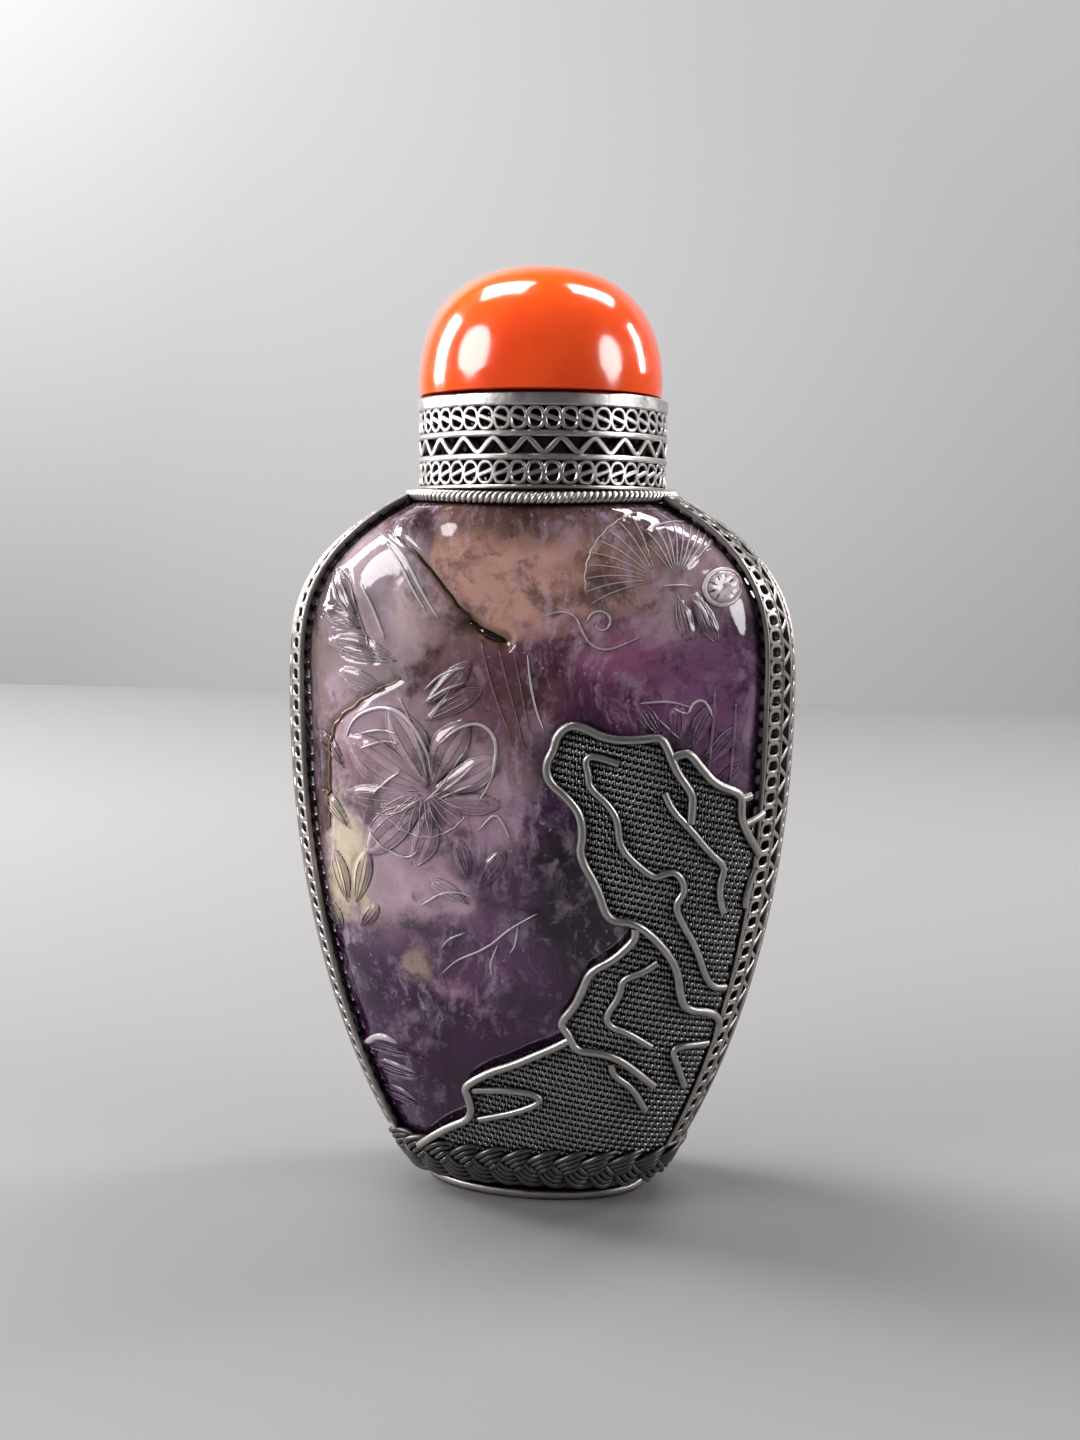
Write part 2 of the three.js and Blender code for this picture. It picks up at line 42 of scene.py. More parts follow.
# The stone's outline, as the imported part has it. The front faces -Y.
stone = {
    "base": 0.95, "widest": 43.98, "shoulder": 61.3, "neckTop": 68.5,
    "baseHalf": (9.2, 4.4), "widestHalf": (20.85, 11.0), "neckHalf": (9.3, 8.5),
    "squareness": 2.6, "mouthRadius": 4.0, "wall": 3.2, "cavityFloor": 4.95, "cavityRoof": 58.1,
    # sharpness and roundness of the outline: below its widest level, then above it sideways and in depth
    "swell": (2.1, 0.8), "slopes": ((3.3, 1.0), (6, 0.5)), "neckRounding": 8,
}


def signedPower(value, power):
    return np.sign(value) * np.abs(value) ** power


def arch(share, sharpness, roundness):
    return (1 - np.clip(share, 0, 1) ** sharpness) ** roundness


def smooth(low, high, value):
    share = np.clip((np.asarray(value, float) - low) / (high - low), 0, 1)
    return share * share * (3 - 2 * share)


def stoneSection(z):
    # half-width, half-depth and squareness of the oval at a height
    z = np.asarray(z, float)
    swell = arch((stone["widest"] - z) / (stone["widest"] - stone["base"]), *stone["swell"])
    rise = np.clip((z - stone["widest"]) / (stone["shoulder"] - stone["widest"]), 0, 1)
    halves = []
    for axis, (sharpness, roundness) in enumerate(stone["slopes"]):
        wide = stone["widestHalf"][axis]
        below = stone["baseHalf"][axis] + (wide - stone["baseHalf"][axis]) * swell
        neck = stone["neckHalf"][axis]
        above = neck + (wide - neck) * arch(rise, sharpness, roundness)
        halves.append(np.where(z <= stone["widest"], below, above))
    squareness = stone["squareness"]
    return halves[0], halves[1], squareness + (2 - squareness) * rise ** stone["neckRounding"]


def stonePoint(turn, z):
    halfWidth, halfDepth, squareness = stoneSection(z)
    x = halfWidth * signedPower(np.cos(turn), 2 / squareness)
    y = -halfDepth * signedPower(np.sin(turn), 2 / squareness)
    return np.stack(np.broadcast_arrays(x, y, z), axis=-1).astype(float)


def unit(vectors):
    return vectors / np.maximum(np.linalg.norm(vectors, axis=-1, keepdims=True), 1e-12)


def reachAlong(points):
    # distance covered from the first point to each of the others
    return np.concatenate([[0], np.cumsum(np.linalg.norm(np.diff(points, axis=0), axis=1))])


def stoneNormal(turn, z):
    across = stonePoint(turn + 0.03, z) - stonePoint(turn - 0.03, z)
    top = np.minimum(z + 0.05, stone["shoulder"] - 0.01)
    upward = stonePoint(turn, top) - stonePoint(turn, np.maximum(z - 0.05, stone["base"]))
    steep = np.linalg.norm(upward, axis=-1, keepdims=True) < 1e-6
    return unit(np.cross(np.where(steep, np.array([0, 0, 1.0]), upward), across))


def offStone(turn, z, out):
    turn, z = np.broadcast_arrays(np.asarray(turn, float), np.asarray(z, float))
    return stonePoint(turn, z) + stoneNormal(turn, z) * np.asarray(out, float)[..., None]


def frontTurn(x, z):
    halfWidth, _, squareness = stoneSection(z)
    return np.arccos(np.clip(signedPower(np.clip(x / halfWidth, -1, 1), squareness / 2), -1, 1))


def onFront(places, out):
    places = np.asarray(places, float)
    turn = frontTurn(places[:, 0], places[:, 1])
    return offStone(turn, places[:, 1], out), stoneNormal(turn, places[:, 1])


# Mesh helpers
def addObject(name, data):
    added = bpy.data.objects.new(name, data)
    bpy.context.scene.collection.objects.link(added)
    return added


def addMesh(name, points, faces, material, sharpAngle=None):
    mesh = bpy.data.meshes.new(name)
    mesh.from_pydata((np.asarray(points, float) * mm).tolist(), [], faces)
    mesh.shade_smooth()
    if sharpAngle:
        mesh.set_sharp_from_angle(angle=radians(sharpAngle))
    mesh.materials.append(material)
    return addObject(name, mesh)


def makePiece(name, points, faces, material, replaced=(), sharpAngle=None):
    piece = addMesh(name, points, faces, material, sharpAngle)
    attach(piece, "root")
    if replaced:
        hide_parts(*replaced)
    print(name, len(points), "points")
    return piece


def sweep(paths, section):
    # section is a loop of (across, outward) corners, carried along every path
    allPoints, allFaces, start = [], [], 0
    corners = np.asarray(section, float)
    sides = len(corners)
    for path, outward, closed, *taper in paths:
        path, outward = np.asarray(path, float), np.asarray(outward, float)
        size = np.reshape(taper[0], (-1, 1, 1)) if taper else 1.0
        if closed:
            along = np.roll(path, -1, 0) - np.roll(path, 1, 0)
        else:
            along = np.gradient(path, axis=0)
        along = unit(along)
        across = unit(np.cross(outward, along))
        up = np.cross(along, across)
        ring = across[:, None] * corners[None, :, :1] + up[:, None] * corners[None, :, 1:]
        rings = path[:, None] + ring * size
        count = len(path)
        allPoints.append(rings.reshape(-1, 3))
        last = count if closed else count - 1
        for i in range(last):
            a, b = start + i * sides, start + (i + 1) % count * sides
            for k in range(sides):
                n = (k + 1) % sides
                allFaces.append((a + k, b + k, b + n, a + n))
        if not closed:
            allFaces.append(tuple(start + k for k in range(sides)))
            allFaces.append(tuple(start + (count - 1) * sides + k for k in reversed(range(sides))))
        start += count * sides
    return np.concatenate(allPoints), allFaces


def joined(points, faces, paths, section):
    extraPoints, extraFaces = sweep(paths, section)
    faces = faces + [tuple(i + len(points) for i in face) for face in extraFaces]
    return np.vstack([points, extraPoints]), faces


def roundSection(radius, sides, flatness=1.0):
    turns = [2 * pi * k / sides for k in range(sides)]
    return [(radius * cos(t), radius * flatness * sin(t)) for t in turns]


def flatWireSection(width, depth, rounding):
    half = width / 2
    return [(half, -depth), (half, -rounding), (half - rounding, 0), (rounding - half, 0),
            (-half, -rounding), (-half, -depth)]


def grid(points):
    # quads between the closed rows of a (rows, columns, 3) array
    rows, columns = points.shape[:2]
    faces = []
    for r in range(rows - 1):
        for c in range(columns):
            n = (c + 1) % columns
            faces.append((r * columns + c, r * columns + n, (r + 1) * columns + n, (r + 1) * columns + c))
    return faces


def ovalRow(turns, halfWidth, halfDepth, level, squareness=2, shift=0):
    across, deep = (signedPower(side(turns), 2 / squareness) for side in (np.cos, np.sin))
    return np.column_stack([halfWidth * across + shift, halfDepth * deep, np.full(len(turns), level)])


def closedEnds(rows, first, last):
    # rows of points round an axis, closed by a fan of faces to a point at each end
    points, faces = np.array(rows).reshape(-1, 3), grid(np.array(rows))
    columns, middle = len(rows[0]), len(points)
    for c in range(columns):
        n = (c + 1) % columns
        faces.append((n, c, middle))
        faces.append((middle - columns + c, middle - columns + n, middle + 1))
    return np.vstack([points, [first, last]]), faces


def evenly(path, spacing):
    reach = reachAlong(path)
    count = max(2, int(round(reach[-1] / spacing)) + 1)
    marks = np.linspace(0, reach[-1], count)
    return np.stack([np.interp(marks, reach, path[:, k]) for k in range(path.shape[1])], axis=1)


def softened(corners, spacing=0.25, rounds=3):
    # corner cutting turns the bends of a hand-bent wire into small curves
    path = np.asarray(corners, float)
    for _ in range(rounds):
        fresh = [path[:1]]
        for a, b in zip(path[:-1], path[1:]):
            fresh.append(np.array([a * 0.75 + b * 0.25, a * 0.25 + b * 0.75]))
        fresh.append(path[-1:])
        path = np.vstack(fresh)
    return evenly(path, spacing)


# Material helpers
def startMaterial(name, **values):
    # a material, its node tree and shader, and the piece's own coordinates
    material = bpy.data.materials.new(name)
    material.use_nodes = True
    tree = material.node_tree
    shader = tree.nodes["Principled BSDF"]
    for key, value in values.items():
        shader.inputs[key.replace("_", " ")].default_value = value
    return material, tree, shader, addNode(tree, "TexCoord", {}).outputs["Object"]


def setSocket(tree, socket, value):
    if isinstance(value, bpy.types.NodeSocket):
        tree.links.new(value, socket)
    else:
        socket.default_value = value


def addNode(tree, kind, inputs, **settings):
    node = tree.nodes.new("ShaderNode" + kind)
    for key, value in settings.items():
        setattr(node, key, value)
    for key, value in inputs.items():
        setSocket(tree, node.inputs[key], value)
    return node


def feed(tree, shader, **sockets):
    for key, value in sockets.items():
        tree.links.new(value, shader.inputs[key.replace("_", " ")])


def mixColour(tree, share, first, second, blend="MIX"):
    node = addNode(tree, "Mix", {}, data_type="RGBA", blend_type=blend)
    for index, value in ((0, share), (6, first), (7, second)):
        setSocket(tree, node.inputs[index], (*value, 1) if isinstance(value, tuple) else value)
    return node.outputs[2]


def ranged(tree, value, fromMin, fromMax, toMin=0.0, toMax=1.0):
    inputs = {"Value": value, "From Min": fromMin, "From Max": fromMax, "To Min": toMin, "To Max": toMax}
    return addNode(tree, "MapRange", inputs, interpolation_type="SMOOTHSTEP").outputs[0]


def noise(tree, place, scale, detail=3.0, roughness=0.5, output=0):
    inputs = {"Vector": place, "Scale": scale, "Detail": detail, "Roughness": roughness}
    return addNode(tree, "TexNoise", inputs).outputs[output]


def vectorMath(tree, operation, first, second):
    return addNode(tree, "VectorMath", {0: first, 1: second}, operation=operation).outputs[0]


def times(tree, first, second):
    return addNode(tree, "Math", {0: first, 1: second}, operation="MULTIPLY").outputs[0]


def stirred(tree, place, base, scale, detail, roughness, reach):
    # base coordinates pushed about by a noise
    shift = vectorMath(tree, "SUBTRACT", noise(tree, place, scale, detail, roughness, 1), (0.5, 0.5, 0.5))
    return vectorMath(tree, "ADD", base, vectorMath(tree, "MULTIPLY", shift, (reach * mm,) * 3))


def addBump(tree, shader, height, distance, strength=1.0):
    bump = addNode(tree, "Bump", {"Height": height, "Distance": distance * mm, "Strength": strength})
    feed(tree, shader, Normal=bump.outputs[0])


# Silver: bright where it is rubbed, black where air and dirt stay
silverLook = {"mottle": 700, "grain": 2500, "grainDepth": 0.03, "open": (0.25, 0.95), "duller": 0.72}


def silverMaterial(name, bright, dark, reach, roughness):
    look = silverLook
    material, tree, shader, place = startMaterial(name, Metallic=1.0)
    shade = addNode(tree, "AmbientOcclusion", {"Distance": reach * mm}, samples=6).outputs["AO"]
    mottled = noise(tree, place, look["mottle"], 4.0)
    patchy = ranged(tree, mottled, 0.3, 0.75, look["duller"], 1.0)
    colour = mixColour(tree, times(tree, ranged(tree, shade, *look["open"]), patchy), dark, bright)
    feed(tree, shader, Base_Color=colour,
         Roughness=ranged(tree, mottled, 0.3, 0.8, roughness + 0.12, roughness - 0.05))
    addBump(tree, shader, noise(tree, place, look["grain"], 2.0), look["grainDepth"], 0.5)
    return material


silver = silverMaterial("antiqueSilver", (0.62, 0.57, 0.54), (0.035, 0.03, 0.03), 0.7, 0.3)
collarSilver = silverMaterial("polishedSilver", (0.70, 0.65, 0.64), (0.06, 0.05, 0.05), 0.7, 0.29)
bandSilver = silverMaterial("dulledSilver", (0.47, 0.43, 0.41), (0.014, 0.012, 0.012), 1.0, 0.32)
wireSilver = silverMaterial("wornSilverWire", (0.42, 0.40, 0.385), (0.08, 0.075, 0.072), 0.6, 0.34)
blackSilver = silverMaterial("blackenedSilver", (0.42, 0.415, 0.41), (0.010, 0.010, 0.011), 0.6, 0.34)
braidSilver = silverMaterial("oxidisedBraid", (0.14, 0.13, 0.13), (0.006, 0.006, 0.006), 0.9, 0.32)


# Amethyst: clouds of colour inside the crystal, pale carving that is partly frost and partly painted
# highlight, and a rusty seam
amethystLook = {
    "deep": (0.020, 0.002, 0.024),
    # centre x, z; reach x, z; colour; strength; how far in the cloud is full
    "zones": [
        ((0, 12), (30, 20), (0.036, 0.004, 0.042), 0.85, 0.45),
        ((-9, 38), (13.5, 14), (0.430, 0.295, 0.345), 0.95, 0.72),
        ((-4, 34), (6.5, 4.8), (0.330, 0.190, 0.270), 0.8, 0.5),
        ((-12, 52), (9, 8), (0.300, 0.225, 0.245), 0.9, 0.7),
        ((-8, 51), (3.2, 3.8), (0.540, 0.400, 0.400), 0.85, 0.5),
        ((-18.5, 46), (3.5, 9), (0.190, 0.135, 0.130), 0.8, 0.5),
        ((-18.6, 36), (2.6, 6), (0.080, 0.040, 0.035), 0.85, 0.4),
        ((-4.5, 47), (4.5, 5.5), (0.170, 0.085, 0.090), 0.85, 0.5),
        ((8, 45), (13, 6), (0.100, 0.026, 0.066), 0.95, 0.55),
        ((8.0, 49.2), (6, 3.2), (0.280, 0.100, 0.190), 0.85, 0.35),
        ((13, 55.0), (7, 5.5), (0.440, 0.310, 0.355), 0.85, 0.5),
        ((0.3, 56.8), (7.9, 7.6), (0.560, 0.310, 0.250), 0.95, 0.93),
        ((7.0, 56), (4.5, 4.5), (0.330, 0.190, 0.160), 0.8, 0.45),
        ((4, 50.0), (5, 2.0), (0.190, 0.085, 0.110), 0.7, 0.4),
        # painted shadow: a dark band on the stone just under the shoulder rope
        ((-2, 59.8), (15, 2.6), (0.050, 0.022, 0.020), 0.85, 0.45),
        ((0.5, 46.5), (5, 2.6), (0.110, 0.040, 0.060), 0.85, 0.5),
        ((15.5, 43.5), (5, 9), (0.200, 0.085, 0.185), 0.85, 0.5),
        ((0.5, 42.5), (2.6, 5), (0.110, 0.050, 0.050), 0.7, 0.5),
        ((4.8, 35), (4.6, 9), (0.026, 0.003, 0.034), 0.97, 0.6),
        ((3.8, 28.5), (6, 6), (0.008, 0.001, 0.010), 0.97, 0.5),
        ((-2.0, 29.4), (4.6, 3.4), (0.060, 0.022, 0.065), 0.85, 0.5),
        ((-5, 23.5), (7, 4.5), (0.100, 0.038, 0.105), 0.8, 0.45),
        ((-14.9, 30), (2.3, 4.8), (0.620, 0.520, 0.360), 0.9, 0.7),
        ((-16, 35), (1.2, 2.4), (0.500, 0.430, 0.310), 0.8, 0.6),
        ((-8.9, 22.0), (0.9, 1.9), (0.420, 0.320, 0.230), 0.65, 0.2),
        ((-7.2, 28.4), (3.2, 2.2), (0.520, 0.350, 0.440), 0.8, 0.5),
        ((-6.2, 20.2), (2.0, 1.2), (0.440, 0.240, 0.340), 0.65, 0.3),
        # painted shade: the neck behind the collar's open wirework is near-black
        ((0, 66.5), (30, 5), (0.008, 0.003, 0.008), 0.95, 0.45),
    ],
    # how far the clouds are pushed about: noise scale, detail, roughness, reach
    "swirl": (120, 5.0, 0.62, 5), "tear": (420, 4.0, 0.65, 4.5), "tornBelow": 7, "zoneDepth": (-9, 16),
    # noise scale, detail and roughness; where it starts and is full; strength; colour; how it is laid on
    "layers": [
        (100, 6.0, 0.7, 0.50, 0.64, 0.45, (0.42, 0.24, 0.26), "MULTIPLY"),
        (330, 7.0, 0.68, 0.51, 0.67, 0.28, (0.52, 0.38, 0.52), "MIX"),
        (210, 6.0, 0.68, 0.49, 0.64, 0.66, (0.014, 0.005, 0.016), "MIX"),
    ],
    # lean, thinness, strength
    "fibres": [(35, 900, 0.34), (-20, 1200, 0.24), (75, 1000, 0.22)], "fibreDraw": 0.12,
    "patches": 95, "sparks": 900, "wisps": (0.52, 0.38, 0.52), "shadeAndGrime": (0.008, 0.004, 0.008),
    "shadeAndGrimeReach": 1.4,
    "frostAndHighlight": (0.78, 0.71, 0.75), "rust": (0.170, 0.085, 0.035), "crack": (0.012, 0.006, 0.005),
    "ripple": (300, 0.10, 0.35), "smoothness": (0.07, 0.16),
}


def amethystMaterial():
    look = amethystLook
    material, tree, shader, place = startMaterial(
        "amethyst", IOR=1.54, Subsurface_Weight=0.15, Subsurface_Scale=1.2 * mm,
        Subsurface_Radius=(1.0, 0.55, 1.0))
    warped = stirred(tree, place, place, *look["swirl"])
    ragged = stirred(tree, place, warped, *look["tear"])
    colour = look["deep"]
    depth, reachDepth = look["zoneDepth"]
    for (x, z), (reachX, reachZ), tint, strength, full in look["zones"]:
        own = ragged if reachX < look["tornBelow"] else warped
        gone = vectorMath(tree, "SUBTRACT", own, (x * mm, depth * mm, z * mm))
        stretch = tuple(1 / (reach * mm) for reach in (reachX, reachDepth, reachZ))
        shaped = vectorMath(tree, "MULTIPLY", gone, stretch)
        away = addNode(tree, "VectorMath", {0: shaped}, operation="LENGTH").outputs["Value"]
        colour = mixColour(tree, ranged(tree, away, 1.6 - full * 0.6, full, 0.0, strength), colour, tint)
    for scale, detail, roughness, start, end, strength, tint, blend in look["layers"]:
        cloud = noise(tree, warped, scale, detail, roughness)
        colour = mixColour(tree, ranged(tree, cloud, start, end, 0.0, strength), colour, tint, blend)
    # fibres: clouds drawn out long and thin, lying three ways
    patch = ranged(tree, noise(tree, place, look["patches"], 2.0), 0.40, 0.56)
    for lean, thin, amount in look["fibres"]:
        laid = addNode(tree, "Mapping", {"Vector": warped, "Rotation": (0, radians(lean), 0),
                                         "Scale": (thin, thin, thin * look["fibreDraw"])}).outputs[0]
        strand = ranged(tree, noise(tree, laid, 1.0, 3.0, 0.6), 0.56, 0.68, 0.0, amount)
        colour = mixColour(tree, times(tree, strand, patch), colour, look["wisps"])
    grains = addNode(tree, "TexVoronoi", {"Vector": warped, "Scale": look["sparks"]}).outputs["Distance"]
    sparks = times(tree, ranged(tree, grains, 0.14, 0.07, 0.0, 0.4), patch)
    colour = mixColour(tree, sparks, colour, look["wisps"])
    frostAndHighlight = addNode(tree, "Attribute", {}, attribute_name="frostAndHighlight").outputs["Fac"]
    rust = addNode(tree, "Attribute", {}, attribute_name="rust").outputs["Fac"]
    # pale carved lines and leaves: frost on the carving, with painted highlight along the ridges
    colour = mixColour(tree, ranged(tree, frostAndHighlight, 0.05, 1.0, 0.0, 0.55), colour, look["frostAndHighlight"])
    colour = mixColour(tree, ranged(tree, rust, 0.05, 0.5, 0.0, 0.85), colour, look["rust"])
    # the near-black crack colour also paints the rosette's spokes, as painted shade in grooves
    colour = mixColour(tree, ranged(tree, rust, 0.6, 0.95, 0.0, 0.97), colour, look["crack"])
    # painted shade: ambient occlusion darkens the stone near the bands, rope and collar and in the carved
    # grooves, with some dirt in the grooves
    shade = addNode(tree, "AmbientOcclusion", {"Distance": look["shadeAndGrimeReach"] * mm}, samples=4).outputs["AO"]
    colour = mixColour(tree, ranged(tree, shade, 0.35, 0.85), look["shadeAndGrime"], colour)
    feed(tree, shader, Base_Color=colour, Roughness=ranged(tree, frostAndHighlight, 0.1, 1.0, *look["smoothness"]))
    scale, depth, strength = look["ripple"]
    addBump(tree, shader, noise(tree, place, scale), depth, strength)
    return material


# Carving: height, half-width, frost and painted highlight, rust and the points (x, z) of each stroke on the
# front
carving = {
    "waviness": 0.05, "strokeThinning": 0.4, "lineWidth": 0.10, "veinWidth": 0.065, "ribWidth": 0.085,
    "roughness": 0.14, "lineSeat": 0.02, "strokeShare": 0.22, "crackShare": 0.8, "backShare": 0.8,
    "backDrop": 1.5,
    "groove": 0.08, "hollow": 0.3,
    # a line's section, as shares of its half-width
    "ridge": [(1, -0.3), (0.6, 0.42), (0, 0.62), (-0.6, 0.42), (-1, -0.3)],
    "strokes": [
        (-0.36, 0.34, 0.0, 0.9, [(-11.8, 58.8), (-10.5, 57.5), (-8.7, 56.3), (-7.4, 54.9), (-6.2, 53.4),
         (-5.1, 52.1), (-4.1, 51.0), (-3.5, 50.3)]),
        (-0.8, 0.9, 0.0, 1.0, [(-4.4, 50.9), (-3.4, 50.3), (-2.5, 49.8), (-1.5, 49.5)]),
        (0.22, 0.4, 0.8, 0.0, [(-12.2, 57.8), (-10.0, 56.5), (-8.9, 54.7), (-7.8, 52.7), (-6.8, 51.2)]),
        (0.2, 0.35, 0.7, 0.0, [(-11.4, 57.1), (-10.0, 55.5), (-8.9, 53.5), (-7.8, 51.8)]),
        (-0.22, 0.42, 0.0, 0.65, [(-10.0, 46.3), (-12.6, 45.0), (-14.5, 43.6), (-16.0, 42.5), (-16.6, 40.5),
         (-16.9, 36.6), (-16.9, 33.2)]),
        (-0.22, 0.4, 0.0, 0.1, [(-15.1, 54.6), (-14.3, 52.6), (-13.5, 50.2), (-12.2, 47.8)]),
        (0.25, 0.45, 0.5, 0.0, [(-13.5, 53.8), (-12.4, 51.9), (-11.3, 49.5)]),
        (0.34, 0.5, 0.8, 0.0, [(-14.9, 41.1), (-14.3, 42.6), (-13.1, 43.5), (-11.3, 44.0), (-9.6, 43.5),
         (-8.4, 41.9), (-7.5, 39.9), (-7.4, 38.6)]),
        (0.24, 0.4, 0.6, 0.0, [(-13.6, 41.6), (-11.8, 42.1), (-10.1, 41.8)]),
        (0.24, 0.4, 0.6, 0.0, [(-13.5, 40.4), (-11.4, 41.2), (-10.1, 41.0)]),
        (0.28, 0.35, 1.0, 0.0, [(-12.4, 36.7), (-11.5, 37.6), (-9.9, 38.8)]),
        (0.24, 0.4, 0.4, 0.0, [(-10.0, 44.7), (-8.8, 42.3), (-8.0, 39.9), (-7.7, 38.2)]),
        (0.26, 0.38, 0.7, 0.0, [(-7.9, 45.5), (-6.6, 46.8), (-4.6, 47.4)]),
        (0.26, 0.38, 0.6, 0.0, [(-7.9, 44.5), (-6.2, 45.6), (-4.6, 46.2)]),
        (0.22, 0.38, 0.5, 0.0, [(-7.5, 43.0), (-6.6, 44.4), (-5.8, 45.6)]),
        (0.32, 0.45, 0.8, 0.0, [(-6.7, 41.1), (-5.4, 42.4), (-3.8, 43.0), (-2.6, 42.5), (-2.0, 41.3),
         (-2.2, 39.2), (-2.8, 37.6), (-3.4, 36.7)]),
        (0.28, 0.32, 0.9, 0.0, [(-8.0, 36.3), (-6.3, 37.9), (-5.5, 39.5), (-4.4, 40.8)]),
        (0.26, 0.32, 0.8, 0.0, [(-7.6, 36.6), (-5.5, 37.9), (-3.8, 39.6)]),
        (0.26, 0.32, 0.8, 0.0, [(-6.8, 36.6), (-5.1, 37.5), (-3.8, 38.0)]),
        (0.22, 0.32, 0.6, 0.0, [(-9.8, 35.6), (-8.4, 36.5)]),
        (0.26, 0.32, 0.7, 0.0, [(-3.5, 34.2), (-2.1, 35.8), (-1.4, 34.7), (-0.9, 33.5)]),
        (0.3, 0.26, 1.0, 0.0, [(0.4, 48.5), (0.6, 46.5), (1.1, 44.1), (1.8, 42.5)]),
        (0.24, 0.32, 0.5, 0.0, [(1.8, 51.6), (3.0, 52.0), (4.2, 51.7), (4.6, 50.5), (5.4, 49.3),
         (6.6, 48.9), (8.1, 49.5), (9.3, 50.1)]),
        (0.24, 0.3, 0.6, 0.0, [(10.8, 54.0), (11.9, 54.1), (13.1, 54.0)]),
        (0.28, 0.45, 0.7, 0.0, [(13.2, 53.0), (14.1, 52.0), (14.5, 50.8)]),
        (0.26, 0.36, 0.6, 0.0, [(9.3, 44.8), (11.6, 45.0), (13.2, 44.5)]),
        (0.26, 0.36, 0.8, 0.0, [(12.0, 44.4), (13.1, 43.8), (13.4, 44.9), (14.4, 45.1), (14.9, 43.7)]),
        (0.22, 0.3, 0.6, 0.0, [(10.5, 43.8), (12.5, 41.9)]),
        (0.24, 0.38, 0.6, 0.0, [(-12.9, 33.7), (-11.6, 32.1), (-9.4, 31.4), (-8.5, 32.3)]),
        (0.22, 0.34, 0.7, 0.0, [(-8.3, 27.6), (-6.1, 29.1), (-4.0, 28.5)]),
        (0.26, 0.28, 0.9, 0.0, [(-6.8, 21.6), (-5.4, 23.0), (-2.8, 24.2), (-1.1, 25.9), (1.3, 27.4)]),
        (0.22, 0.26, 0.8, 0.0, [(-2.0, 24.5), (-2.7, 22.7), (-2.5, 21.8)]),
        (0.22, 0.26, 0.8, 0.0, [(-0.3, 26.3), (-0.5, 24.6), (-1.0, 23.8)]),
        (0.22, 0.3, 0.7, 0.0, [(-6.8, 23.8), (-6.2, 24.7), (-4.7, 25.4)]),
        (0.34, 1.1, 0.8, 0.0, [(-14.4, 13.7), (-12.6, 15.0), (-11.0, 14.5)]),
        (0.3, 0.8, 0.5, 0.0, [(-12.9, 12.4), (-11.4, 12.4), (-9.5, 12.0)]),
        (0.3, 0.7, 0.4, 0.0, [(-12.1, 10.0), (-10.6, 9.8), (-9.5, 9.2)]),
        (0.24, 0.28, 0.15, 0.5, [(-3.3, 49.6), (-2.9, 47.3), (-2.0, 44.5), (-0.8, 41.7)]),
        (0.22, 0.24, 0.15, 0.5, [(-2.0, 49.3), (-1.3, 46.5), (-0.5, 43.7), (0.2, 41.3)]),
        (0.22, 0.24, 0.15, 0.4, [(-0.8, 48.9), (-0.1, 45.7), (0.6, 42.5)]),
        (0.24, 0.45, 0.3, 0.0, [(15.1, 45.7), (15.0, 42.5), (14.7, 39.3)]),
        (0.22, 0.45, 0.3, 0.0, [(16.7, 44.8), (16.6, 41.2), (16.3, 37.9)]),
    ],
    # root; tip; half-width of each raised leaf
    "leafRise": 0.27, "backLeaves": 14,
    "leaves": [
        ((-7.6, 37.4), (-14.8, 41.3), 1.7), ((-7.6, 37.6), (-11.1, 44.0), 1.4),
        ((-7.3, 37.8), (-4.4, 43.1), 1.4), ((-7.1, 37.4), (-1.9, 40.2), 1.2),
        ((-7.8, 36.6), (-15.2, 36.4), 1.2), ((-7.9, 36.3), (-13.2, 31.5), 1.4),
        ((-7.4, 36.1), (-9.0, 30.8), 1.1), ((-6.8, 36.5), (-1.6, 36.4), 0.8),
        ((-13.8, 50.8), (-16.3, 55.0), 0.8), ((-10.3, 47.7), (-16.6, 49.1), 0.9),
        ((-11.3, 45.3), (-15.6, 46.7), 0.8), ((-7.9, 44.3), (-4.2, 47.9), 0.8),
        ((-7.9, 43.0), (-3.2, 45.7), 0.8), ((-13.6, 50.2), (-17.4, 51.6), 0.7),
        ((11.1, 42.0), (9.3, 44.8), 0.6), ((12.2, 41.6), (12.3, 44.8), 0.6),
        ((13.3, 41.1), (14.9, 44.7), 0.6), ((14.2, 39.7), (17.0, 43.0), 0.6),
        ((15.1, 37.6), (17.4, 39.9), 0.5), ((-8.5, 13.6), (-15.4, 13.9), 0.7),
        ((-8.4, 11.5), (-14.0, 11.9), 0.7), ((-8.8, 8.7), (-13.6, 9.3), 0.6),
        ((13.2, 53.6), (15.2, 49.5), 0.6), ((12.0, 53.5), (13.1, 49.7), 0.5),
        ((-15.2, 26.8), (-16.5, 31.5), 0.8), ((-14.4, 26.9), (-13.2, 31.9), 0.8),
        ((-15.9, 24.3), (-17.7, 26.6), 0.7), ((-14.1, 24.9), (-12.3, 27.2), 0.6),
        ((-4.4, 27.9), (-7.8, 29.8), 0.6), ((-3.6, 29.2), (-1.4, 32.6), 0.7),
        ((-4.4, 30.0), (-5.3, 33.4), 0.6), ((-14.8, 33.5), (-17.6, 36.5), 0.6),
        ((-15.1, 38.6), (-17.8, 41.6), 0.6),
    ],
    # centre; first and last turn; radius; ribs; rise
    "fans": [
        ((10.4, 54.5), (108, 194), 5.6, 8, 0.22),
        ((11.9, 54.6), (44, 127), 4.5, 9, 0.22),
        ((15.5, 53.9), (0, 360), 1.4, 9, 0.3),
        ((-8.0, 37.4), (200, 330), 4.0, 9, 0.12),
    ],
    # centre and radius
    "scroll": ((6.15, 51.1), 1.1),
}


